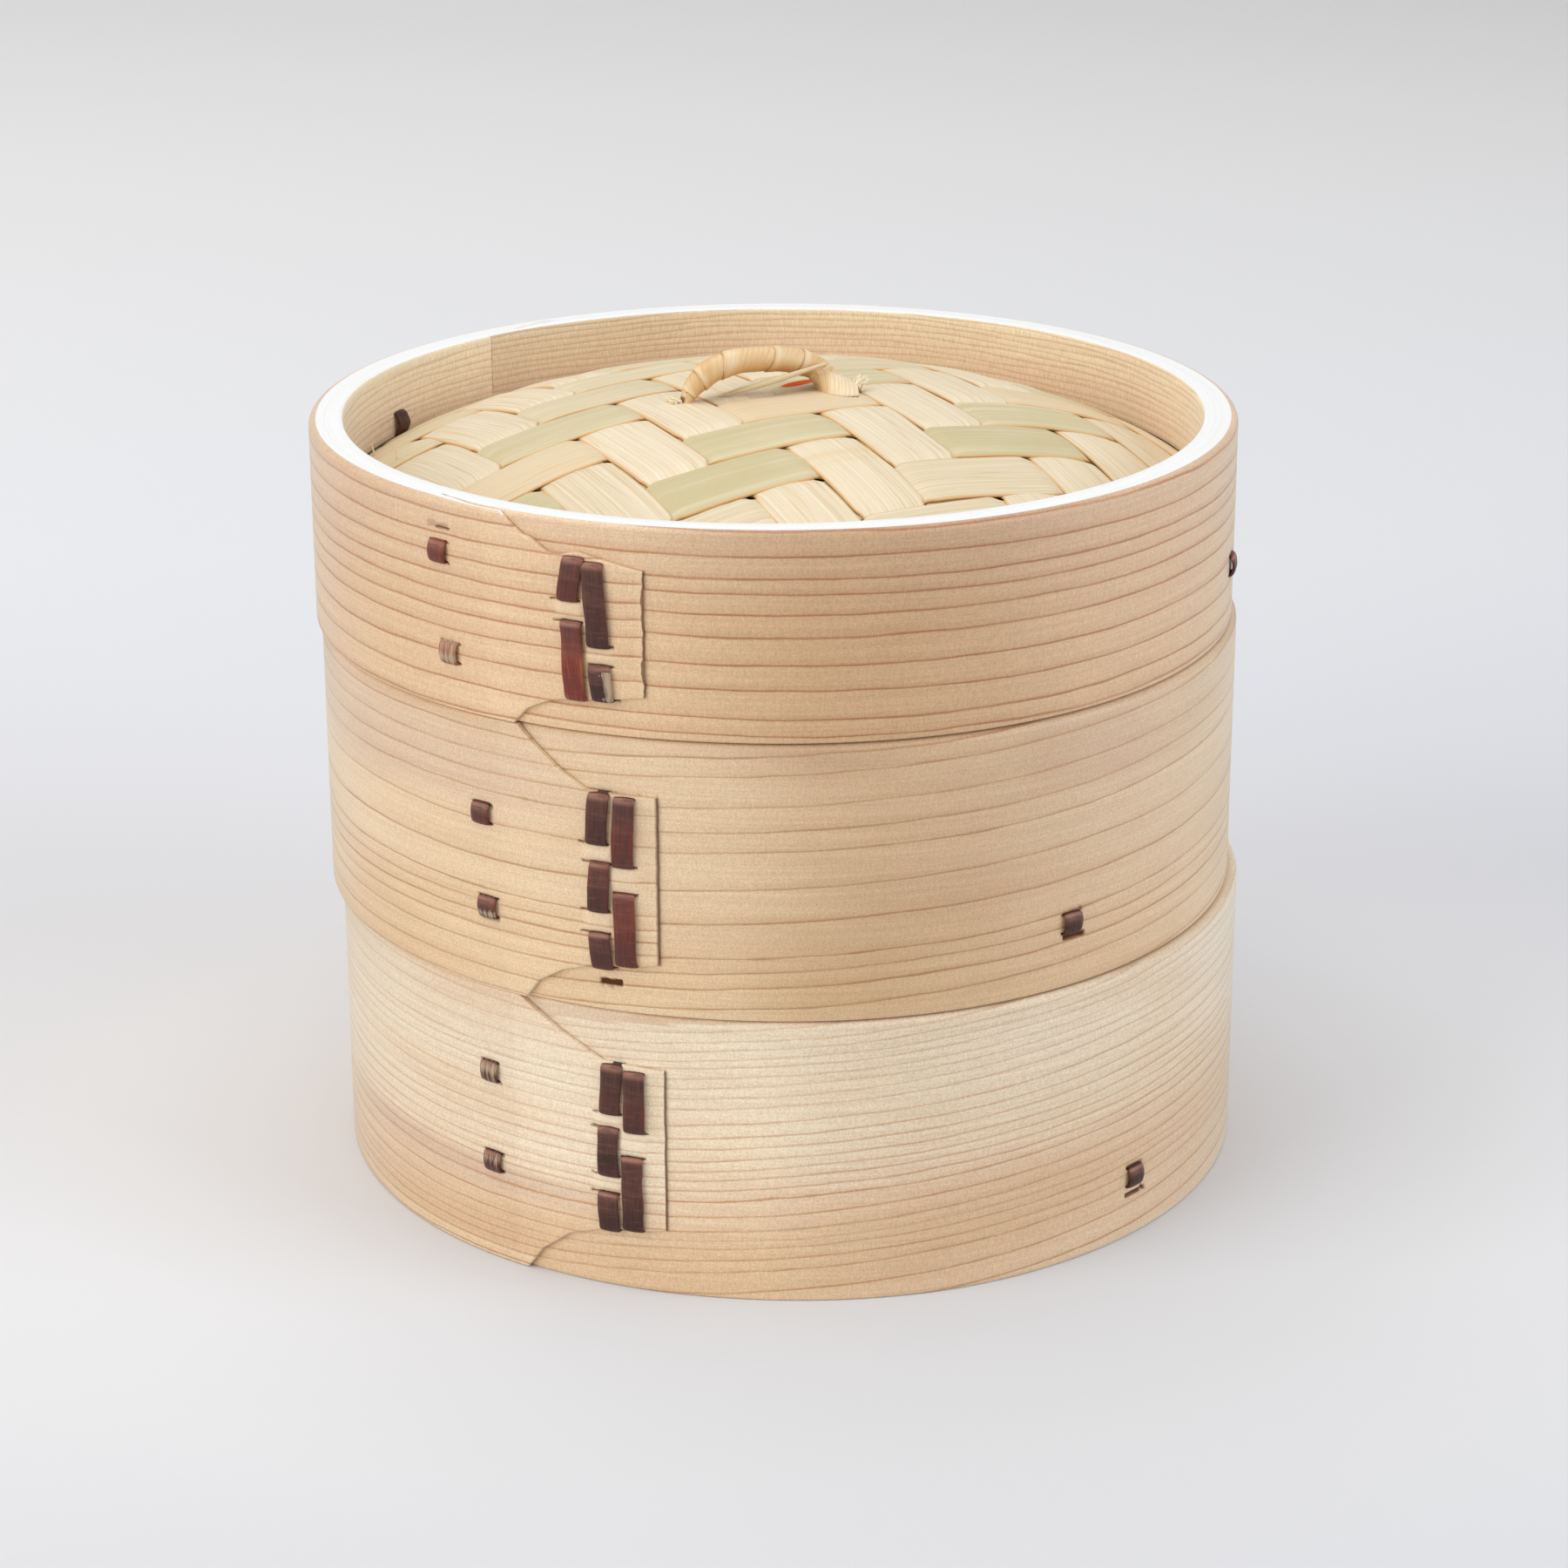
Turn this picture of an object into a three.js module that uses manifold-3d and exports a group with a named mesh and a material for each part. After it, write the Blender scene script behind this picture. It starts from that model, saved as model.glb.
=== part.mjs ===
import * as THREE from "three";
import { mergeVertices } from "three/addons/utils/BufferGeometryUtils.js";
import Module from "manifold-3d";

// A two-tier steamer of bent wood hoops with a woven bamboo lid. Millimetres, +Z up. The origin is
// the middle of the stack on the surface that it stands on. Angles are in degrees, counted round
// from the front (-Y) towards the right (+X). Heights in a ring count from its own lower edge.

const wasm = await Module();
wasm.setup();

// Sizes that all three rings share
const outerDiameter = 180;
const bandThickness = 3;
const hoopThickness = 3.4;
const hoopFit = 0.2; // radial play between the band and the hoops driven into it
const restGap = 0.3; // between pieces that rest on each other
const cutOverrun = 1;
const facetAngle = 6;
const fineAngle = 1.5;

// How one ring stands in the next: the upper inner hoop rises above the band as a thinned spigot,
// and the lower inner hoop stops short of the band's lower edge
const spigotHeight = 5;
const spigotThickness = 1.3;
const spigotClearance = 1;
const nestHeight = spigotHeight + spigotClearance;

// Rounding of the band's and the hoops' edges
const rimRadius = 1.4;
const lowerEdgeChamfer = 0.4;
const roundingLimitShare = 0.47;
const roundShare = 0.3; // how far a corner's middle point lies from the full square

const outerRadius = outerDiameter / 2;
const bandInnerRadius = outerRadius - bandThickness;
const hoopOuterRadius = bandInnerRadius - hoopFit;
const hoopInnerRadius = hoopOuterRadius - hoopThickness;

// The lap of the outer band: the strip's start is shaved to a feather edge on its outer face, and
// the free end, shaved on its inner face, narrows to a tongue that lies over it
const tongueThickness = 1;
const featherThickness = 0.35;
const lapGap = 0.15;
const lapStartAngle = -42;
const lapSlopeAngle = 6;
const lapEaseAngle = 42;
const tongueInnerRadius = outerRadius - tongueThickness;
const lapOuterRadius = tongueInnerRadius - lapGap;

// The lap of each inner hoop, split nearer its inner face
const hoopLapAngle = 11;
const hoopShaveAngle = 5;
const hoopTipAngle = 1;
const hoopSplitShare = 0.27;
const hoopLapGap = 0.2;
const hoopSplitRadius = hoopInnerRadius + hoopThickness * hoopSplitShare;
const spigotStep = 0.3;

// Strips of bark: the lacing of the laps and the single ties
const barkWidthShare = 0.0222;
const barkWidth = outerDiameter * barkWidthShare;
const barkThickness = 0.65;
const barkLift = 0.15; // off the wood's faces
const barkBulge = 0.3;
const slitPlay = 0.2;
const lacingTail = 4;
const tieHeight = 4.4;

// Floor of a tier, at a share of the ring's height
const floorShare = 0.45;
const slatCount = 9;
const slatWidth = 12;
const slatThickness = 2;
const slatEdge = 0.5;
const slatStep = 0.3; // how much thinner a slat is where the hoops pinch it
const slatSpanShare = 0.84;
const barWidth = 8;
const barThickness = 3.5;
const barEdge = 0.8;
const barPlaceShare = 0.42;
const barPlay = 0.3;

// Woven sheet of the lid. Its strips' places and its rise are shares of the outer diameter, and
// the height of its edge is a share of the lid's height.
const pitchAlongShare = 0.0822;
const pitchAcrossShare = 0.0794;
const startAlongShare = 0.0089;
const startAcrossShare = -0.0139;
const sheetRiseShare = 0.0911;
const sheetEdgeShare = 0.57;
const stripThickness = 1;
const stripGap = 0.7;
const weaveAngle = 27;
const sheetPower = 2.6;
const stripEndShare = 0.3;
const stripPitchAlong = outerDiameter * pitchAlongShare;
const stripPitchAcross = outerDiameter * pitchAcrossShare;
const weaveStartAlong = outerDiameter * startAlongShare;
const weaveStartAcross = outerDiameter * startAcrossShare;
const sheetRise = outerDiameter * sheetRiseShare;

// Handle of the lid
const handleSpan = 35.4;
const handleRise = 8.7;
const handleAngle = 24;
const coreDiameter = 3.7;
const coreHolePlay = 0.3;
const coreSteps = 32;
const wrapThickness = 0.6;
const wrapLift = 0.15;
const wrapTurns = 8;
const wrapGap = 0.9;
const wrapFootGap = 0.5;
const wrapStepsPerTurn = 24;

// The three rings. Outline points are an angle and a share of the ring's height; a run of lacing
// is a pair of shares of the tongue's height where it starts and ends, from the top down.
const lower = {
  name: "lower",
  height: 56,
  shift: 1.2,
  tongueEnd: -15.1,
  topShares: [[-34.1, 1], [-28.5, 0.905], [-22.7, 0.822], [-15.1, 0.808]],
  bottomShares: [[-33.7, 0], [-31.5, 0.085], [-27.5, 0.17], [-22.5, 0.216], [-15, 0.232]],
  columns: [
    { angle: -21.6, runShares: [[1, 0.7], [0.62, 0.335], [0.24, 0]] },
    { angle: -18.6, runShares: [[1, 0.62], [0.464, 0]] },
  ],
  upperTies: [{ angle: -38.6, share: 0.69 }],
  lowerTies: [{ angle: -38.5, share: 0.36 }, { angle: 46.8, share: 0.224 }],
};
const upper = {
  name: "upper",
  height: 53,
  shift: -0.8,
  tongueEnd: -14.2,
  topShares: [[-31.6, 1], [-29.4, 0.94], [-26, 0.86], [-22.7, 0.805], [-14.2, 0.796]],
  bottomShares: [[-31.3, 0], [-29.6, 0.07], [-26.3, 0.13], [-22.5, 0.165], [-14, 0.189]],
  columns: [
    { angle: -21.2, runShares: [[1, 0.708], [0.607, 0.322], [0.205, 0]] },
    { angle: -18.1, runShares: [[1, 0.6], [0.44, 0]] },
  ],
  upperTies: [{ angle: -37.1, share: 0.648 }],
  lowerTies: [{ angle: -36.5, share: 0.305 }, { angle: 36.6, share: 0.238 }],
};
const lid = {
  name: "lid",
  height: 39,
  shift: -1.8,
  tongueEnd: -14.9,
  topShares: [[-31.2, 1], [-27.9, 0.836], [-25.6, 0.829], [-22.6, 0.862], [-14.9, 0.793]],
  bottomShares: [[-31.3, 0], [-29.5, 0.08], [-27, 0.13], [-24.4, 0.156], [-14.9, 0.197]],
  columns: [
    { angle: -23.4, runShares: [[1, 0.667], [0.548, 0]] },
    { angle: -20.1, runShares: [[1, 0.4], [0.28, 0]] },
  ],
  upperTies: [{ angle: -41.8, share: 0.752 }, { angle: -115, share: 0.69 }],
  lowerTies: [{ angle: -40.4, share: 0.274 }, { angle: 77, share: 0.32 }],
};

// Materials
const paint = (color, roughness) =>
  new THREE.MeshStandardMaterial({ color, roughness, metalness: 0 });
const looks = {
  lower: paint(0xe6cda6, 0.62),
  upper: paint(0xdcbd96, 0.62),
  lid: paint(0xddb88c, 0.62),
  hoop: paint(0xe3c59e, 0.6),
  slat: paint(0xe2d3a0, 0.5),
  bar: paint(0xd9c48f, 0.55),
  bark: paint(0x56302f, 0.38),
  sheet: paint(0xe9dcae, 0.5),
  rattan: paint(0xdcb577, 0.45),
};

// Helpers

const turn = 360;
const radians = THREE.MathUtils.degToRad;
const outward = (angle) =>
  new THREE.Vector3(Math.sin(radians(angle)), -Math.cos(radians(angle)), 0);
const ease = (x, from, to) => THREE.MathUtils.smoothstep(x, from, to);

// The value of an outline of [angle, share] points at an angle, straight between the points.
function outlineAt(points, angle) {
  if (angle <= points[0][0]) return points[0][1];
  for (let i = 1; i < points.length; i++) {
    const [a0, v0] = points[i - 1];
    const [a1, v1] = points[i];
    if (angle <= a1) return v0 + ((v1 - v0) * (angle - a0)) / (a1 - a0);
  }
  return points[points.length - 1][1];
}

// A closed solid through a row of equal polygons, each given as a list of points.
function loft(sections) {
  const count = sections[0].length;
  const last = sections.length - 1;
  const position = sections.flat().flatMap((p) => [p.x, p.y, p.z]);
  const index = [];
  for (let i = 0; i < last; i++) {
    for (let j = 0; j < count; j++) {
      const a = i * count + j;
      const b = i * count + ((j + 1) % count);
      index.push(a, b, a + count, b, b + count, a + count);
    }
  }
  const cap = (section, base, forward) => {
    const middle = section
      .reduce((sum, p) => sum.add(p), new THREE.Vector3())
      .divideScalar(count);
    const edge = section[1].clone().sub(section[0]);
    const normal = new THREE.Vector3();
    section.forEach((p, j) => {
      const q = section[(j + 1) % count];
      normal.add(p.clone().sub(middle).cross(q.clone().sub(middle)));
    });
    normal.normalize();
    edge.normalize();
    const side = normal.clone().cross(edge);
    const flat = section.map((p) => {
      const d = p.clone().sub(middle);
      return new THREE.Vector2(d.dot(edge), d.dot(side));
    });
    for (const [a, b, c] of THREE.ShapeUtils.triangulateShape(flat, [])) {
      if (forward) index.push(base + a, base + b, base + c);
      else index.push(base + a, base + c, base + b);
    }
  };
  cap(sections[0], 0, false);
  cap(sections[last], last * count, true);
  const g = new THREE.BufferGeometry();
  g.setAttribute("position", new THREE.Float32BufferAttribute(position, 3));
  g.setIndex(index);
  return g;
}

function toSolid(geometry) {
  const g = geometry.clone();
  g.deleteAttribute("normal");
  g.deleteAttribute("uv");
  const merged = mergeVertices(g);
  return new wasm.Manifold(
    new wasm.Mesh({
      numProp: 3,
      vertProperties: new Float32Array(merged.attributes.position.array),
      triVerts: new Uint32Array(merged.index.array),
    }),
  );
}

function fromSolid(solid) {
  const m = solid.getMesh();
  const g = new THREE.BufferGeometry();
  g.setAttribute("position", new THREE.BufferAttribute(m.vertProperties, 3));
  g.setIndex(new THREE.BufferAttribute(m.triVerts, 1));
  return g;
}

function cut(geometry, tools) {
  return fromSolid(tools.reduce((s, t) => s.subtract(toSolid(t)), toSolid(geometry)));
}

function addMesh(group, name, geometry, material) {
  const g = geometry.index ? geometry.toNonIndexed() : geometry;
  g.computeVertexNormals();
  const mesh = new THREE.Mesh(g, material);
  mesh.name = name;
  group.add(mesh);
  return mesh;
}

// A box whose depth runs outward at an angle, between two radii and two heights.
function radialBox(angle, width, innerRadius, farRadius, bottom, top) {
  const g = new THREE.BoxGeometry(farRadius - innerRadius, width, top - bottom);
  g.translate((innerRadius + farRadius) / 2, 0, (bottom + top) / 2);
  const out = outward(angle);
  return g.rotateZ(Math.atan2(out.y, out.x));
}

// Bent strips

// A strip swept round the axis: section(angle) gives its corners as [radius, height].
function sweptStrip(angles, section) {
  return loft(
    angles.map((angle) => {
      const out = outward(angle);
      return section(angle)
        .map(([radius, height]) => out.clone().multiplyScalar(radius).setZ(height))
        .reverse();
    }),
  );
}

function stepsBetween(from, to, step, extras = []) {
  const count = Math.ceil((to - from) / step);
  const all = Array.from({ length: count + 1 }, (_, i) => from + ((to - from) * i) / count);
  for (const e of extras) if (e > from && e < to) all.push(e);
  all.sort((a, b) => a - b);
  return all.filter((a, i) => i === 0 || a - all[i - 1] > fineAngle / 10 || a === to);
}

// The outer band: one strip that goes once round, from the shaved start under the lap to the end
// of the tongue over it.
function bandGeometry(ring) {
  const start = lapStartAngle;
  const end = turn + ring.tongueEnd;
  const over = turn + lapStartAngle;
  const slopes = [over, over + lapSlopeAngle / 2, over + lapSlopeAngle];
  const angles = [
    ...stepsBetween(start, ring.tongueEnd + lapSlopeAngle, 2 * fineAngle, [ring.tongueEnd]),
    ...stepsBetween(ring.tongueEnd + lapSlopeAngle, over - fineAngle, facetAngle).slice(1),
    ...stepsBetween(over - fineAngle, end, 2 * fineAngle, [
      ...slopes,
      ...ring.topShares.map(([a]) => a + turn),
      ...ring.bottomShares.map(([a]) => a + turn),
    ]).slice(1),
  ];
  const feather = bandInnerRadius + featherThickness;
  const slope = (angle) =>
    feather + (lapOuterRadius - feather) * ease(angle, lapStartAngle, lapStartAngle + lapSlopeAngle);
  const easeTo = ring.tongueEnd + lapEaseAngle;
  return sweptStrip(angles, (angle) => {
    const lapped = angle - turn;
    const outer = slope(angle) + (outerRadius - lapOuterRadius) * ease(angle, ring.tongueEnd, easeTo);
    const inner = lapped < lapStartAngle - fineAngle / 2 ? bandInnerRadius : slope(lapped) + lapGap;
    const bottom = ring.height * (lapped > lapStartAngle ? outlineAt(ring.bottomShares, lapped) : 0);
    const top = ring.height * (lapped > lapStartAngle ? outlineAt(ring.topShares, lapped) : 1);
    const limit = (outer - inner) * roundingLimitShare;
    const foot = Math.min(lowerEdgeChamfer, limit);
    const rim = Math.min(rimRadius, limit);
    return [
      [inner, bottom],
      [outer - foot, bottom],
      [outer, bottom + foot],
      [outer, top - rim],
      [outer - rim * roundShare, top - rim * roundShare],
      [outer - rim, top],
      [inner, top],
    ];
  });
}

// An inner hoop between two heights. Its start lies outside, shaved from within, and its end laps
// inside the start. With a spigot it rises further, thinned from outside.
function hoopGeometry(startAngle, bottom, top, spigot) {
  const again = startAngle + turn;
  const end = again + hoopLapAngle;
  const edge = startAngle + hoopLapAngle;
  const angles = [
    ...stepsBetween(startAngle, edge, facetAngle),
    ...stepsBetween(edge, edge + hoopShaveAngle, facetAngle / 2).slice(1),
    ...stepsBetween(edge + hoopShaveAngle, again - hoopShaveAngle, facetAngle).slice(1),
    ...stepsBetween(again - hoopShaveAngle, again - hoopTipAngle, facetAngle / 2).slice(1),
    ...stepsBetween(again - hoopTipAngle, end, facetAngle).slice(1),
  ];
  return sweptStrip(angles, (angle) => {
    const grown = ease(angle, edge, edge + hoopShaveAngle);
    const ending = ease(angle, again - hoopShaveAngle, again - hoopTipAngle);
    const splitInner = hoopSplitRadius + hoopLapGap / 2;
    const splitOuter = hoopSplitRadius - hoopLapGap / 2;
    const inner = splitInner + (hoopInnerRadius - splitInner) * grown;
    const outer = hoopOuterRadius + (splitOuter - hoopOuterRadius) * ending;
    if (!spigot)
      return [[inner, bottom], [outer, bottom], [outer, top], [inner, top]];
    const thinned = Math.min(outer - spigotStep, hoopInnerRadius + spigotThickness);
    return [
      [inner, bottom],
      [outer, bottom],
      [outer, top],
      [thinned, top],
      [thinned, top + spigot],
      [inner, top + spigot],
    ];
  });
}

// The side outline of a bark strip that follows a path of [radius, height] points, mitred at its
// corners. A closed path runs down its inner side and up its outer one.
function strokeOutline(path, closed) {
  const points = path.map(([r, z]) => new THREE.Vector2(r, z));
  const n = points.length;
  const offset = (i, side) => {
    const p = points[i];
    const before = closed || i > 0 ? points[(i - 1 + n) % n] : null;
    const after = closed || i < n - 1 ? points[(i + 1) % n] : null;
    const normals = [];
    if (before) normals.push(p.clone().sub(before).normalize());
    if (after) normals.push(after.clone().sub(p).normalize());
    const turned = normals.map((d) => new THREE.Vector2(-d.y, d.x));
    const sum = turned.reduce((s, d) => s.add(d), new THREE.Vector2()).normalize();
    const reach = barkThickness / 2 / sum.dot(turned[0]);
    return p.clone().addScaledVector(sum, side * reach);
  };
  const left = points.map((_, i) => offset(i, 1));
  const right = points.map((_, i) => offset(i, -1));
  return { left, right };
}

function barkGeometry(angle, path, closed) {
  const { left, right } = strokeOutline(path, closed);
  let shape;
  if (closed) {
    shape = new THREE.Shape(right);
    shape.holes.push(new THREE.Path(left));
  } else {
    shape = new THREE.Shape([...left, ...right.reverse()]);
  }
  const g = new THREE.ExtrudeGeometry(shape, { depth: barkWidth, bevelEnabled: false });
  g.translate(0, 0, -barkWidth / 2);
  const out = outward(angle);
  const up = new THREE.Vector3(0, 0, 1);
  return g.applyMatrix4(new THREE.Matrix4().makeBasis(out, up, out.clone().cross(up)));
}

// Lacing of a lap

const barkOutRadius = outerRadius + barkLift + barkThickness / 2;
const lacingInRadius = bandInnerRadius + barkLift + barkThickness / 2;

// Heights of one column's outside runs, as the middles of the strip where it goes through.
function runHeights(ring, column) {
  const top = ring.height * outlineAt(ring.topShares, column.angle);
  const bottom = ring.height * outlineAt(ring.bottomShares, column.angle);
  const half = barkThickness / 2;
  return column.runShares.map(([high, low]) => [
    high === 1 ? top + slitPlay + half : bottom + (top - bottom) * high - half,
    low === 0 ? bottom - slitPlay - half : bottom + (top - bottom) * low + half,
  ]);
}

function lacingGeometry(ring, column) {
  const runs = runHeights(ring, column);
  const path = [[lacingInRadius, runs[0][0] + lacingTail]];
  for (const [high, low] of runs) {
    path.push(
      [lacingInRadius, high],
      [barkOutRadius, high],
      [barkOutRadius + barkBulge, (high + low) / 2],
      [barkOutRadius, low],
      [lacingInRadius, low],
    );
  }
  path.push([lacingInRadius, runs[runs.length - 1][1] - lacingTail]);
  return barkGeometry(column.angle, path, false);
}

function slit(angle, height, innerRadius) {
  const half = barkThickness / 2 + slitPlay;
  return radialBox(
    angle,
    barkWidth + 2 * slitPlay,
    innerRadius,
    outerRadius + cutOverrun,
    height - half,
    height + half,
  );
}

// The slits of the lacing, and a groove in the band's inner face behind each column, where the
// strip's inside runs and its tails lie.
function lacingSlits(ring) {
  return ring.columns.flatMap((column) => {
    const heights = runHeights(ring, column).flat();
    const reach = lacingTail + slitPlay;
    const groove = radialBox(
      column.angle,
      barkWidth + 2 * slitPlay,
      bandInnerRadius - cutOverrun,
      lacingInRadius + barkThickness / 2 + slitPlay,
      heights[heights.length - 1] - reach,
      heights[0] + reach,
    );
    const depth = bandInnerRadius - cutOverrun;
    return [groove, ...heights.map((height) => slit(column.angle, height, depth))];
  });
}

// Single ties: closed loops of bark round the band and an inner hoop

function tieLegs(ring, tie) {
  const middle = ring.height * tie.share;
  const reach = (tieHeight - barkThickness) / 2;
  return [middle + reach, middle - reach];
}

function tieGeometry(ring, tie) {
  const [high, low] = tieLegs(ring, tie);
  const inRadius = hoopInnerRadius - barkLift - barkThickness / 2;
  const middle = (high + low) / 2;
  return barkGeometry(
    tie.angle,
    [
      [inRadius, high],
      [inRadius - barkBulge, middle],
      [inRadius, low],
      [barkOutRadius, low],
      [barkOutRadius + barkBulge, middle],
      [barkOutRadius, high],
    ],
    true,
  );
}

function tieSlits(ring, ties) {
  return ties.flatMap((tie) =>
    tieLegs(ring, tie).map((height) => slit(tie.angle, height, hoopInnerRadius - cutOverrun)),
  );
}

// Floor of a tier

const floorEndRadius = hoopOuterRadius - restGap;
const floorHeight = (ring) => ring.height * floorShare; // the lower faces of its slats rest here

// A bar of flat section with eased upper edges, lying along X about its middle.
function flatBar(width, thickness, edge, halfLength) {
  const half = width / 2;
  const shape = new THREE.Shape([
    new THREE.Vector2(-half, 0),
    new THREE.Vector2(half, 0),
    new THREE.Vector2(half, thickness - edge),
    new THREE.Vector2(half - edge, thickness),
    new THREE.Vector2(edge - half, thickness),
    new THREE.Vector2(-half, thickness - edge),
  ]);
  const g = new THREE.ExtrudeGeometry(shape, { depth: 2 * halfLength, bevelEnabled: false });
  g.translate(0, 0, -halfLength);
  return g.rotateX(Math.PI / 2).rotateZ(Math.PI / 2);
}

function halfChord(radius, far) {
  return Math.sqrt(Math.max(radius ** 2 - far ** 2, (radius / slatCount) ** 2));
}

// The space over a slat's thinned ends: a ring outside the face that is left to lie on.
function slatEndTool(place) {
  const low = slatThickness - slatStep;
  const high = slatThickness + cutOverrun;
  const inside = hoopInnerRadius - restGap;
  const far = outerRadius + cutOverrun;
  const profile = [[inside, low], [far, low], [far, high], [inside, high], [inside, low]];
  const points = profile.map(([radius, height]) => new THREE.Vector2(radius, height));
  const ring = new THREE.LatheGeometry(points, turn / facetAngle).rotateX(Math.PI / 2);
  return ring.translate(0, -place, 0);
}

const barPlaces = [-1, 1].map((side) => side * barPlaceShare * hoopInnerRadius);

function addFloor(group, ring) {
  const reach = slatSpanShare * hoopInnerRadius;
  const pitch = (2 * reach - slatWidth) / (slatCount - 1);
  for (let i = 0; i < slatCount; i++) {
    const place = (i - (slatCount - 1) / 2) * pitch;
    const half = halfChord(floorEndRadius, Math.abs(place) + slatWidth / 2);
    const slat = addMesh(
      group,
      `${ring.name}_slat_${i + 1}`,
      cut(flatBar(slatWidth, slatThickness, slatEdge, half), [slatEndTool(place)]),
      looks.slat,
    );
    slat.position.set(0, place, floorHeight(ring) + restGap);
  }
  barPlaces.forEach((place, i) => {
    const half = halfChord(floorEndRadius, Math.abs(place) + barWidth / 2);
    const bar = addMesh(
      group,
      `${ring.name}_cross_bar_${i + 1}`,
      flatBar(barWidth, barThickness, barEdge, half).rotateZ(Math.PI / 2),
      looks.bar,
    );
    bar.position.set(place, 0, floorHeight(ring) - barThickness);
  });
}

// Notches for the cross bars' ends in the lower inner hoop.
function barNotches(ring) {
  return barPlaces.map((place) => {
    const g = new THREE.BoxGeometry(
      barWidth + 2 * barPlay,
      2 * outerRadius,
      barThickness + restGap + cutOverrun,
    );
    return g.translate(place, 0, floorHeight(ring) + (cutOverrun - barThickness - restGap) / 2);
  });
}

// Rings

const numbered = (list, name) => (list.length > 1 ? list.map((_, i) => `${name}_${i + 1}`) : [name]);

function addBand(group, ring) {
  const tools = [...lacingSlits(ring), ...tieSlits(ring, [...ring.upperTies, ...ring.lowerTies])];
  addMesh(group, `${ring.name}_band`, cut(bandGeometry(ring), tools), looks[ring.name]);
  ring.columns.forEach((column, i) =>
    addMesh(group, `${ring.name}_lacing_${i + 1}`, lacingGeometry(ring, column), looks.bark),
  );
  for (const [ties, place] of [[ring.upperTies, "high"], [ring.lowerTies, "low"]]) {
    const names = numbered(ties, `${ring.name}_tie_${place}`);
    ties.forEach((tie, i) => addMesh(group, names[i], tieGeometry(ring, tie), looks.bark));
  }
}

const hoopJointAngle = -146;
const lowHoopJointAngle = 150;

function makeTier(ring, base) {
  const group = new THREE.Group();
  group.position.set(ring.shift, 0, base);
  addBand(group, ring);
  const slatEndTop = floorHeight(ring) + restGap + slatThickness - slatStep;
  const high = hoopGeometry(hoopJointAngle, slatEndTop + restGap, ring.height, spigotHeight);
  const low = hoopGeometry(lowHoopJointAngle, nestHeight, floorHeight(ring), 0);
  addMesh(group, `${ring.name}_hoop_high`, cut(high, tieSlits(ring, ring.upperTies)), looks.hoop);
  addMesh(
    group,
    `${ring.name}_hoop_low`,
    cut(low, [...tieSlits(ring, ring.lowerTies), ...barNotches(ring)]),
    looks.hoop,
  );
  addFloor(group, ring);
  return group;
}

// Woven sheet

const sheetEdgeHeight = lid.height * sheetEdgeShare;

// Middle height of the sheet: a low dome that runs out flat where the hoops pinch it.
function domeHeight(radius) {
  const share = Math.min(radius / hoopInnerRadius, 1);
  return sheetEdgeHeight + sheetRise * (1 - share ** sheetPower);
}

// A 2/2 twill: each strip goes over two and under two, and each next strip is a step on. In each
// square of the weave, phase 0 or 1 has the steep strip on top and 2 or 3 the flat one. The height
// of a face follows the strip that shows on it, which rises from under its neighbour and dives
// again two squares on.
function weaveHeights(along, across) {
  const i = Math.floor((along - weaveStartAlong) / stripPitchAlong);
  const j = Math.floor((across - weaveStartAcross) / stripPitchAcross);
  const alongShare = (along - weaveStartAlong) / stripPitchAlong - i;
  const acrossShare = (across - weaveStartAcross) / stripPitchAcross - j;
  const phase = (((i - j - 2) % 4) + 4) % 4;
  const run = (share) => stripEndShare + (1 - stripEndShare) * Math.sin((Math.PI * share) / 2) ** 0.7;
  const steep = run(acrossShare + (phase === 0 || phase === 2 ? 1 : 0));
  const flat = run(alongShare + (phase === 1 || phase === 3 ? 1 : 0));
  return phase < 2 ? [steep, flat] : [flat, steep];
}

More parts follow.
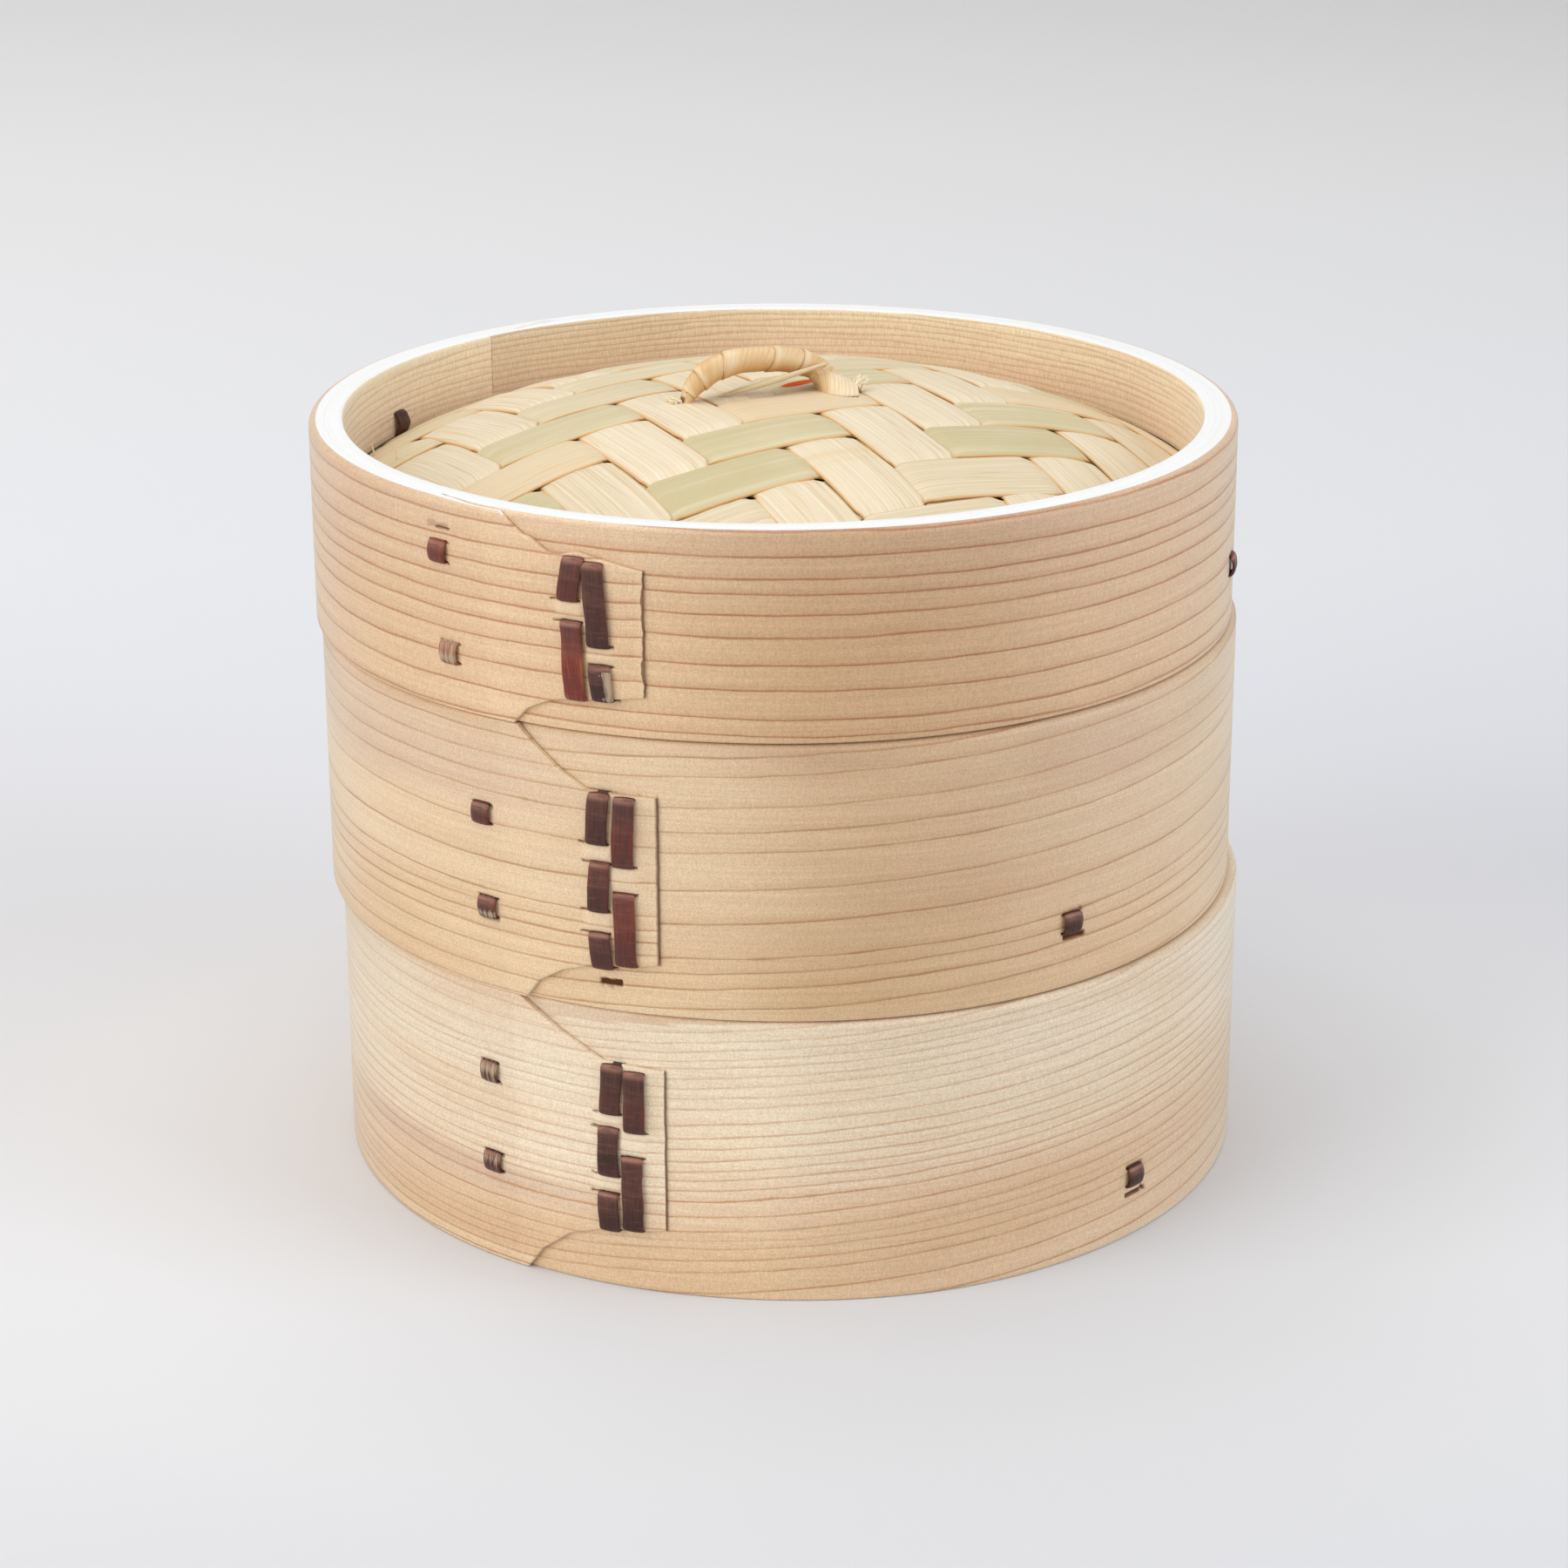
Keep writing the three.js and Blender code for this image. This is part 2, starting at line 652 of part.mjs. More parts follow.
function sheetGeometry() {
  const reach = hoopOuterRadius;
  const lines = (start, pitch) => {
    const places = [];
    const first = Math.floor((-reach - start) / pitch) - 1;
    const last = Math.ceil((reach - start) / pitch);
    for (let k = first; k <= last; k++) {
      const line = start + k * pitch;
      places.push(line + stripGap / 2, line + pitch - stripGap / 2);
    }
    return places;
  };
  const alongs = lines(weaveStartAlong, stripPitchAlong);
  const acrosses = lines(weaveStartAcross, stripPitchAcross);
  const columns = acrosses.length;
  const top = [];
  const bottom = [];
  const slant = radians(weaveAngle);
  for (const along of alongs) {
    for (const across of acrosses) {
      const x = along * Math.cos(slant) - across * Math.sin(slant);
      const y = along * Math.sin(slant) + across * Math.cos(slant);
      const middle = domeHeight(Math.hypot(x, y));
      const [above, below] = weaveHeights(along, across);
      top.push(x, y, middle + stripThickness * above);
      bottom.push(x, y, middle - stripThickness * below);
    }
  }
  const index = [];
  const under = alongs.length * columns;
  for (let i = 0; i < alongs.length - 1; i++) {
    for (let j = 0; j < columns - 1; j++) {
      const a = i * columns + j;
      const [b, c, d] = [a + columns, a + columns + 1, a + 1];
      index.push(a, b, c, a, c, d);
      index.push(under + a, under + c, under + b, under + a, under + d, under + c);
    }
  }
  const wall = (a, b) => index.push(a, b, under + a, b, under + b, under + a);
  for (let i = 0; i < alongs.length - 1; i++) {
    wall((i + 1) * columns, i * columns);
    wall(i * columns + columns - 1, (i + 1) * columns + columns - 1);
  }
  for (let j = 0; j < columns - 1; j++) {
    wall(j, j + 1);
    wall((alongs.length - 1) * columns + j + 1, (alongs.length - 1) * columns + j);
  }
  const g = new THREE.BufferGeometry();
  g.setAttribute("position", new THREE.Float32BufferAttribute([...top, ...bottom], 3));
  g.setIndex(index);
  // Trimmed round, with a level rim as thick as two strips where the hoops pinch it
  const inside = hoopInnerRadius - restGap;
  const low = sheetEdgeHeight - stripThickness;
  const high = sheetEdgeHeight + stripThickness;
  const profile = [
    [0, 0], [inside, 0], [inside, low], [floorEndRadius, low], [floorEndRadius, high],
    [inside, high], [inside, 2 * (sheetEdgeHeight + sheetRise)], [0, 2 * (sheetEdgeHeight + sheetRise)],
  ].map(([radius, height]) => new THREE.Vector2(radius, height));
  const disc = new THREE.LatheGeometry(profile, turn / facetAngle).rotateX(Math.PI / 2);
  return fromSolid(toSolid(g).intersect(toSolid(disc)));
}

// Handle

// The rattan's line, in shares of half the span and of the rise over the weave: up out of the
// weave, over the arch and down again, with both ends turned in under the weave.
const handleShares = [
  [-0.5, -0.62], [-0.8, -0.61], [-0.96, -0.42], [-1, 0], [-0.95, 0.38], [-0.74, 0.74], [-0.4, 0.94],
  [0, 1],
];

function handleCurve() {
  const foot = domeHeight(handleSpan / 2);
  const point = ([x, z]) =>
    new THREE.Vector3((x * handleSpan) / 2, 0, foot + z * handleRise);
  const half = handleShares.map(point);
  const mirrored = handleShares.slice(0, -1).reverse().map(([x, z]) => point([-x, z]));
  return new THREE.CatmullRomCurve3([...half, ...mirrored]);
}

function coreGeometry() {
  const circle = new THREE.Path().absarc(0, 0, coreDiameter / 2, 0, 2 * Math.PI);
  const section = new THREE.Shape(circle.getPoints(5).slice(0, -1));
  return new THREE.ExtrudeGeometry(section, {
    steps: coreSteps,
    extrudePath: handleCurve(),
    bevelEnabled: false,
  });
}

// The wrap: one strip of peel wound round the core at a steady pitch along it. A point of the
// strip lies at an angle round the core that grows evenly with its place along the core.
function wrapGeometry() {
  const curve = handleCurve();
  const total = curve.getLength();
  const clear = domeHeight(handleSpan / 2) + stripThickness + wrapFootGap;
  let from = 0.5;
  while (curve.getPointAt(from).z > clear) from -= 0.001;
  const length = (1 - 2 * from) * total;
  const pitch = length / (wrapTurns + 1);
  const width = pitch - wrapGap;
  const across = new THREE.Vector3(0, 1, 0);
  const onCore = (place, angle, radius) => {
    const u = THREE.MathUtils.clamp(place / total, 0, 1);
    const along = curve.getTangentAt(u);
    const up = across.clone().cross(along).negate();
    return curve
      .getPointAt(u)
      .addScaledVector(up, radius * Math.cos(angle))
      .addScaledVector(across, radius * Math.sin(angle));
  };
  const inside = coreDiameter / 2 + wrapLift;
  const crownShares = [[-0.3, 1], [0.3, 1], [0.5, 0.35], [0.4, 0], [-0.4, 0], [-0.5, 0.35]];
  const steps = wrapTurns * wrapStepsPerTurn;
  const sections = [];
  for (let k = 0; k <= steps; k++) {
    const place = from * total + pitch / 2 + (pitch * k) / wrapStepsPerTurn;
    const angle = (2 * Math.PI * k) / wrapStepsPerTurn;
    sections.push(
      crownShares.map(([w, t]) => onCore(place + w * width, angle, inside + t * wrapThickness)),
    );
  }
  // Least gap between a turn and the next, on points along both facing edges
  let least = Infinity;
  for (let k = 0; k + wrapStepsPerTurn <= steps; k++)
    for (const a of sections[k])
      for (const b of sections[k + wrapStepsPerTurn]) least = Math.min(least, a.distanceTo(b));
  console.log(`handle wrap: least gap between turns ${least.toFixed(2)} mm`);
  return loft(sections);
}

// Lid

function makeLid(ring, base) {
  const group = new THREE.Group();
  group.position.set(ring.shift, 0, base);
  addBand(group, ring);
  const sheetTop = sheetEdgeHeight + stripThickness;
  const sheetBottom = sheetEdgeHeight - stripThickness;
  const high = hoopGeometry(hoopJointAngle, sheetTop + restGap, ring.height, 0);
  const low = hoopGeometry(lowHoopJointAngle, nestHeight, sheetBottom - restGap, 0);
  addMesh(group, "lid_hoop_high", cut(high, tieSlits(ring, ring.upperTies)), looks.hoop);
  addMesh(group, "lid_hoop_low", cut(low, tieSlits(ring, ring.lowerTies)), looks.hoop);

  const slant = radians(handleAngle);
  const holes = [-1, 1].map((side) => {
    const radius = coreDiameter / 2 + coreHolePlay;
    const hole = new THREE.CylinderGeometry(radius, radius, 2 * handleRise, 16);
    hole.rotateX(Math.PI / 2);
    return hole.translate((side * handleSpan) / 2, 0, domeHeight(handleSpan / 2)).rotateZ(slant);
  });
  addMesh(group, "lid_woven_sheet", cut(sheetGeometry(), holes), looks.sheet);
  addMesh(group, "lid_handle_core", coreGeometry().rotateZ(slant), looks.rattan);
  addMesh(group, "lid_handle_wrap", wrapGeometry().rotateZ(slant), looks.rattan);
  return group;
}

const steamer = new THREE.Group();
const upperBase = lower.height + restGap;
const lidBase = upperBase + upper.height + restGap;
steamer.add(makeTier(lower, 0), makeTier(upper, upperBase), makeLid(lid, lidBase));

export default steamer;
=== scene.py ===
import math

import bpy
import numpy as np
from mathutils import Matrix, Vector


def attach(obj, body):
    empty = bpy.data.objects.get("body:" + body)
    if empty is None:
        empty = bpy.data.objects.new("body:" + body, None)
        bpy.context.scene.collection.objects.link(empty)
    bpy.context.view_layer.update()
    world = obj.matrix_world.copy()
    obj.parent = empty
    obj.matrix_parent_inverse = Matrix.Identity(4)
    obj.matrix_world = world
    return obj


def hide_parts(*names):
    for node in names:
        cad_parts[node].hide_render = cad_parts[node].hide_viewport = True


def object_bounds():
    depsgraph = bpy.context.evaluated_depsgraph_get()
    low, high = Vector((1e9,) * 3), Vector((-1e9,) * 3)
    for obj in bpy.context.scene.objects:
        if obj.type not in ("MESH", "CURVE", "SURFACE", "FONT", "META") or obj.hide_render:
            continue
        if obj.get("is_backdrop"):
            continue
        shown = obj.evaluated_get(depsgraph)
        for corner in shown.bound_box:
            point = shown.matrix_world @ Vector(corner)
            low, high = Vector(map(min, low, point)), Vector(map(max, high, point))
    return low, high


# A two-tier steamer of bent wood hoops with a woven bamboo lid.
# Shapes are worked out in millimetres and go into the meshes in metres. Angles are in degrees,
# counted round from the front (-Y) towards the right (+X). Heights count from a ring's lower edge.

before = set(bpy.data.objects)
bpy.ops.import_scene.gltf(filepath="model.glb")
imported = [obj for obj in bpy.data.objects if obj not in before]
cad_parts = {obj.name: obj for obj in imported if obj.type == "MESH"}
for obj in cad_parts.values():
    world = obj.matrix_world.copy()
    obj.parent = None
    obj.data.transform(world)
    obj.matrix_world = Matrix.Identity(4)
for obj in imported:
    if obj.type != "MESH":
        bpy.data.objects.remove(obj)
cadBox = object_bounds()
mm = 0.001
print("frame loaded:", len(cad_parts), "nodes")


# Camera

cameraSizes = {"lens": 89.777, "elevation": 19.762, "distance": 787.52, "target": (0.02, 0, 70.15), "roll": -0.18}


def makeCamera(sizes):
    # looks at the target from the front, raised by the elevation, then rolled about its own axis
    e, r = math.radians(sizes["elevation"]), math.radians(sizes["roll"])
    back = Vector((0, -math.cos(e), math.sin(e)))
    right, up = Vector((1, 0, 0)), Vector((0, math.sin(e), math.cos(e)))
    turnedRight = right * math.cos(r) + up * math.sin(r)
    turnedUp = up * math.cos(r) - right * math.sin(r)
    place = (Vector(sizes["target"]) + back * sizes["distance"]) * mm
    camera = bpy.data.objects.new("camera", bpy.data.cameras.new("camera"))
    camera.data.lens = sizes["lens"]
    camera.data.sensor_width = 36
    camera.data.sensor_fit = "HORIZONTAL"
    camera.data.clip_start = 0.01
    axes = Matrix((turnedRight, turnedUp, back)).transposed().to_4x4()
    camera.matrix_world = Matrix.Translation(place) @ axes
    bpy.context.scene.collection.objects.link(camera)
    bpy.context.scene.camera = camera


makeCamera(cameraSizes)
print("camera set")


# Helpers for shapes

def eased(x, low, high):
    # 0 below low, 1 above high, and a smooth S between them
    t = np.clip((x - low) / (high - low), 0, 1)
    return t * t * (3 - 2 * t)


def window(x, low, high, edge):
    # 1 between low and high, falling to 0 over the edge's width outside them
    return eased(x, low - edge, low) * (1 - eased(x, high, high + edge))


def waver(x, scale, seed, count=6):
    # a sum of sines of seeded lengths round the scale and seeded phases, about -1 to 1
    dice = np.random.default_rng(seed)
    lengths = scale * dice.uniform(0.45, 1.8, count)
    phases = dice.uniform(0, 2 * np.pi, count)
    waves = np.sin(2 * np.pi * np.asarray(x)[..., None] / lengths + phases)
    return waves.sum(-1) / count ** 0.5 * 0.8


def around(ring, angle, radius, height, side=0.0):
    # a point at an angle, radius and height of a ring, moved sideways along the tangent
    a = np.radians(angle)
    x = ring["shift"] + radius * np.sin(a) + side * np.cos(a)
    y = -radius * np.cos(a) + side * np.sin(a)
    return np.stack(np.broadcast_arrays(x, y, ring["base"] + height + 0 * x), -1)


def gridQuads(rows, columns, loopRows=False, loopColumns=False):
    # quads of a grid of points that are numbered row by row
    r, c = np.meshgrid(
        np.arange(rows if loopRows else rows - 1),
        np.arange(columns if loopColumns else columns - 1),
        indexing="ij",
    )
    r2, c2 = (r + 1) % rows, (c + 1) % columns
    return np.stack([r * columns + c, r * columns + c2, r2 * columns + c2, r2 * columns + c], -1).reshape(-1, 4)


def tube(points, loop=False):
    # a closed body from a grid of sections (rows) of closed outlines (columns); open ends get a fan
    rows, columns = points.shape[:2]
    flat = points.reshape(-1, 3)
    quads = gridQuads(rows, columns, loop, True)
    fans = np.zeros((0, 3), int)
    if not loop:
        middles = np.stack([points[0].mean(0), points[-1].mean(0)])
        k = np.arange(columns)
        k2 = (k + 1) % columns
        last = (rows - 1) * columns
        fans = np.concatenate([
            np.stack([k2, k, np.full(columns, rows * columns)], -1),
            np.stack([k + last, k2 + last, np.full(columns, rows * columns + 1)], -1),
        ])
        flat = np.concatenate([flat, middles])
    return facingOut(flat, quads, fans)


def facingOut(points, quads, fans):
    # the signed volume of a closed body is positive when its faces point outwards
    split = np.concatenate([quads[:, [0, 1, 2]], quads[:, [0, 2, 3]], fans])
    a, b, c = (points[split[:, k]] for k in range(3))
    if np.einsum("ij,ij->", a - points.mean(0), np.cross(b - points.mean(0), c - points.mean(0))) < 0:
        quads, fans = quads[:, ::-1], fans[:, ::-1]
    return points, quads, fans


def joined(parts):
    # several bodies as one list of points and faces
    offsets = np.cumsum([0] + [len(p[0]) for p in parts[:-1]])
    return (
        np.concatenate([p[0] for p in parts]),
        np.concatenate([p[1] + o for p, o in zip(parts, offsets)]),
        np.concatenate([p[2] + o for p, o in zip(parts, offsets)]),
    )


def addPiece(name, body, stands, shape, materials, uv=None, fields=None, picks=None, sharp=40):
    points, quads, fans = shape
    mesh = bpy.data.meshes.new(name)
    mesh.from_pydata((points * mm).tolist(), [], quads.tolist() + fans.tolist(), shade_flat=False)
    for key, values in (fields or {}).items():
        full = np.full(len(points), np.ravel(values)[-1], np.float32)
        full[: values.size] = values.ravel()
        mesh.attributes.new(key, "FLOAT", "POINT").data.foreach_set("value", full)
    if uv is not None:
        full = np.zeros((len(points), 2), np.float32)
        full[: len(uv)] = uv
        corners = np.zeros(len(mesh.loops), np.int32)
        mesh.loops.foreach_get("vertex_index", corners)
        mesh.uv_layers.new(name="strip").data.foreach_set("uv", full[corners].ravel())
    for material in materials:
        mesh.materials.append(material)
    if picks is not None:
        full = np.zeros(len(mesh.polygons), np.int32)
        full[: len(picks)] = picks
        mesh.polygons.foreach_set("material_index", full)
    mesh.set_sharp_from_angle(angle=math.radians(sharp))
    mesh.update()
    piece = bpy.data.objects.new(name, mesh)
    bpy.context.scene.collection.objects.link(piece)
    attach(piece, body)
    if stands:
        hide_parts(*stands)
    return piece


# Helpers for materials

def newMaterial(name, roughness, specular=0.3, **sockets):
    material = bpy.data.materials.new(name)
    material.use_nodes = True
    tree = material.node_tree
    shader = tree.nodes["Principled BSDF"]
    shader.inputs["Roughness"].default_value = roughness
    shader.inputs["Specular IOR Level"].default_value = specular
    for key, value in sockets.items():
        shader.inputs[key].default_value = value
    return material, tree, shader


def put(tree, kind, inputs=None, output=0, **settings):
    # adds a node; an input is a socket to link or a value to set
    node = tree.nodes.new("ShaderNode" + kind)
    for key, value in settings.items():
        setattr(node, key, value)
    for key, value in (inputs or {}).items():
        socket = node.inputs[key]
        if isinstance(value, bpy.types.NodeSocket):
            tree.links.new(value, socket)
        else:
            socket.default_value = value
    return node.outputs[output]


def calc(tree, operation, a, b=0.0, c=0.0):
    return put(tree, "Math", {0: a, 1: b, 2: c}, operation=operation)


def fade(tree, value, low, high, start=1.0, end=0.0):
    # a smooth step of the value, from start at low to end at high
    return put(
        tree, "MapRange",
        {"Value": value, "From Min": low, "From Max": high, "To Min": start, "To Max": end},
        interpolation_type="SMOOTHSTEP",
    )


def field(tree, name):
    return put(tree, "Attribute", output=2, attribute_name=name)


def blendColor(tree, amount, a, b, mode="MIX"):
    node = tree.nodes.new("ShaderNodeMix")
    node.data_type = "RGBA"
    node.blend_type = mode
    for socket, value in ((node.inputs[0], amount), (node.inputs[6], a), (node.inputs[7], b)):
        if isinstance(value, bpy.types.NodeSocket):
            tree.links.new(value, socket)
        else:
            socket.default_value = value
    return node.outputs[2]


def stretched(tree, vector, scales, shift=0.0):
    # the vector times one scale per axis, moved by a shift that gives each piece its own pattern
    return put(tree, "Mapping", {0: vector, 1: (shift, shift * 0.37, shift * 0.71), 3: scales})


def grain(tree, vector, scales, shift=0.0, detail=2.0, roughness=0.5):
    moved = stretched(tree, vector, scales, shift)
    return put(tree, "TexNoise", {"Vector": moved, "Scale": 1.0, "Detail": detail, "Roughness": roughness})


def ramp(tree, value, stops):
    node = tree.nodes.new("ShaderNodeValToRGB")
    tree.links.new(value, node.inputs[0])
    elements = node.color_ramp.elements
    while len(elements) < len(stops):
        elements.new(0.5)
    for element, (place, color) in zip(elements, stops):
        element.position = place
        element.color = color
    return node.outputs[0]


def color(red, green, blue):
    # a colour as it is seen on a screen, 0 to 255, turned into the linear values that nodes take
    seen = np.array([red, green, blue]) / 255
    linear = np.where(seen <= 0.04045, seen / 12.92, ((seen + 0.055) / 1.055) ** 2.4)
    return (*linear.tolist(), 1.0)


def bump(tree, shader, height, strength, distance=0.0002):
    normal = put(tree, "Bump", {"Strength": strength, "Distance": distance, "Height": height})
    tree.links.new(normal, shader.inputs["Normal"])


# Wood of the bands and hoops. The strip's UV is its length and height in millimetres. A point's
# growth field counts the growth lines below it and the spacing field is the local gap between
# two lines, so that their product near a whole number is the distance from a line.

def woodMaterial(name, stops, gaps, lineColor, shift, wide=0.34, late=0.3, patchColor=None, hatched=0.2):
    sheen = {"Sheen Roughness": 0.38, "Sheen Tint": (0.78, 0.96, 1, 1)}
    material, tree, shader = newMaterial(name, 0.44, 0.5, **sheen)
    strip = put(tree, "UVMap", uv_map="strip")
    growth, gap, strength = (field(tree, key) for key in ("growth", "spacing", "strength"))
    slow = grain(tree, strip, (0.02, 0.1, 1), shift, 2)
    quick = grain(tree, strip, (0.11, 0.5, 1), shift + 7, 3)
    offset = calc(tree, "SUBTRACT", growth, calc(tree, "ROUND", growth))
    warp = calc(tree, "ADD", calc(tree, "MULTIPLY", calc(tree, "SUBTRACT", slow, 0.5), 1.6),
                calc(tree, "MULTIPLY", calc(tree, "SUBTRACT", quick, 0.5), 0.5))
    distance = calc(tree, "MULTIPLY_ADD", offset, gap, warp)
    below = fade(tree, distance, -0.8 * wide, 0.0, 0.0, 1.0)
    above = fade(tree, distance, 0.0, 1.15 * wide)
    core = calc(tree, "MULTIPLY", below, above)
    longAbove = calc(tree, "MULTIPLY", fade(tree, distance, 0.1, 2.1), below)
    uneven = fade(tree, grain(tree, strip, (0.05, 0.35, 1), shift + 3, 3), 0.3, 0.7, 0.6, 1.05)
    line = calc(tree, "ADD", calc(tree, "MULTIPLY", core, uneven), calc(tree, "MULTIPLY", longAbove, late))
    line = put(tree, "Math", {0: line, 1: strength}, operation="MULTIPLY", use_clamp=True)

    broad = grain(tree, strip, (0.012, 0.06, 1), shift + 11, 2)
    share = calc(tree, "ADD", calc(tree, "DIVIDE", growth, gaps),
                 calc(tree, "MULTIPLY", calc(tree, "SUBTRACT", broad, 0.5), 0.12))
    base = ramp(tree, share, stops)
    if patchColor:
        spread = fade(tree, grain(tree, strip, (0.016, 0.05, 1), shift + 5, 2), 0.42, 0.66, 0.0, 0.5)
        base = blendColor(tree, spread, base, patchColor)
    blush = field(tree, "blush")
    base = blendColor(tree, fade(tree, blush, 0.0, 1.0, 0.0, 1.0), base, color(208, 176, 150))
    base = blendColor(tree, fade(tree, blush, -1.0, 0.0), base, color(240, 216, 176))
    streak = grain(tree, strip, (0.03, 1.6, 1), shift + 2, 4, 0.6)
    base = blendColor(tree, fade(tree, streak, 0.3, 0.7, 0.0, 0.22), base, lineColor)
    tone = blendColor(tree, line, base, lineColor)
    speck = grain(tree, strip, (2.6, 3.8, 1), shift, 4, 0.75)
    hatch = grain(tree, strip, (4.2, 0.5, 1), shift + 1, 3)
    fine = calc(tree, "ADD", calc(tree, "MULTIPLY", speck, 1 - hatched), calc(tree, "MULTIPLY", hatch, hatched))
    level = fade(tree, fine, 0.3, 0.7, 0.82, 1.18)
    # partly painted light and shade: above 0 the tint makes the wood whiter and cooler, a painted sheen where the lamps
    # shine back, below 0 darker and warmer, painted shade; the rest is the wood's own tone round the ring
    tint = field(tree, "tint")
    shades = [calc(tree, "MULTIPLY", level, calc(tree, "MULTIPLY_ADD", tint, k, 1.0)) for k in (0.8, 1.1, 1.4)]
    grey = put(tree, "CombineColor", dict(enumerate(shades)))
    tone = blendColor(tree, 1.0, tone, grey, "MULTIPLY")
    tone = blendColor(tree, calc(tree, "MULTIPLY", field(tree, "fresh"), 0.55), tone, color(246, 226, 190))
    # painted shade: the gap field turns the wood dark brown in slits, cracks and seams and in the shadow beside the
    # tongue's end
    gapShade = field(tree, "gap")
    tone = blendColor(tree, gapShade, tone, color(96, 52, 32))
    tree.links.new(tone, shader.inputs["Base Color"])
    # no shine and no sheen inside a gap, so the painted shade stays dark
    tree.links.new(fade(tree, gapShade, 0.0, 0.6, 0.5, 0.05), shader.inputs["Specular IOR Level"])
    tree.links.new(fade(tree, gapShade, 0.0, 0.6, 0.4, 0.0), shader.inputs["Sheen Weight"])
    relief = calc(tree, "ADD", fine, calc(tree, "MULTIPLY", line, 0.35))
    bump(tree, shader, relief, 0.35)
    return material


def rimMaterial(name, main, grained, speckled):
    # planed edges, with faint lines of the layers along the strip
    material, tree, shader = newMaterial(name, 0.55, 0.25)
    strip = put(tree, "UVMap", uv_map="strip")
    lines = grain(tree, strip, (0.03, 2.2, 1), 3, 3)
    speck = grain(tree, strip, (1.2, 1.2, 1), 5, 3)
    tone = blendColor(tree, fade(tree, lines, 0.35, 0.7, 0.0, 0.4), main, grained)
    tone = blendColor(tree, fade(tree, speck, 0.5, 0.8, 0.0, 0.2), tone, speckled)
    tree.links.new(tone, shader.inputs["Base Color"])
    bump(tree, shader, speck, 0.15)
    return material


ringLooks = {
    "lower": {
        "stops": [(0.0, color(240, 214, 184)), (0.07, color(229, 196, 158)), (0.14, color(219, 181, 140)),
                  (0.28, color(220, 182, 142)),
                  (0.44, color(234, 209, 176)), (0.75, color(235, 215, 185)), (1.0, color(228, 205, 174))],
        "line": color(190, 140, 96), "patch": color(226, 194, 156), "late": 0.16, "shift": 2.0,
    },
    "upper": {
        "stops": [(0.0, color(221, 183, 139)), (0.35, color(228, 193, 150)), (0.6, color(226, 193, 154)),
                  (1.0, color(218, 184, 148))],
        "line": color(188, 138, 94), "patch": color(240, 212, 170), "late": 0.2, "shift": 13.0,
    },
    "lid": {
        "stops": [(0.0, color(220, 182, 138)), (0.5, color(219, 181, 139)), (1.0, color(214, 179, 143))],
        "line": color(178, 120, 78), "patch": color(226, 188, 146), "late": 0.24, "shift": 29.0,
    },
}
woods = {
    key: woodMaterial(f"band_wood_{key}", look["stops"], {"lower": 27, "upper": 15, "lid": 11}[key],
                      look["line"], look["shift"], late=look["late"], patchColor=look["patch"])
    for key, look in ringLooks.items()
}
hoopStops = [(0.0, color(224, 194, 162)), (0.3, color(226, 198, 166)), (0.55, color(230, 206, 170)), (0.9, color(232, 212, 176))]
woods["hoop"] = woodMaterial("hoop_wood", hoopStops, 12, color(200, 160, 124), 41.0, wide=0.36, late=0.3,
                             patchColor=color(224, 192, 162), hatched=0.45)
rimWood = rimMaterial("planed_edge", color(239, 238, 237), color(232, 226, 214), color(224, 214, 198))
tierRim = rimMaterial("tier_edge", color(228, 204, 168), color(216, 184, 144), color(208, 174, 134))
print("wood materials made")


# Rings. Outline points are an angle and a share of the ring's height. A run of lacing is the
# heights of its upper and lower end with the angles of both, from the top down.
# firstLines and lastLines are the heights of the growth lines where the strip starts and ends.

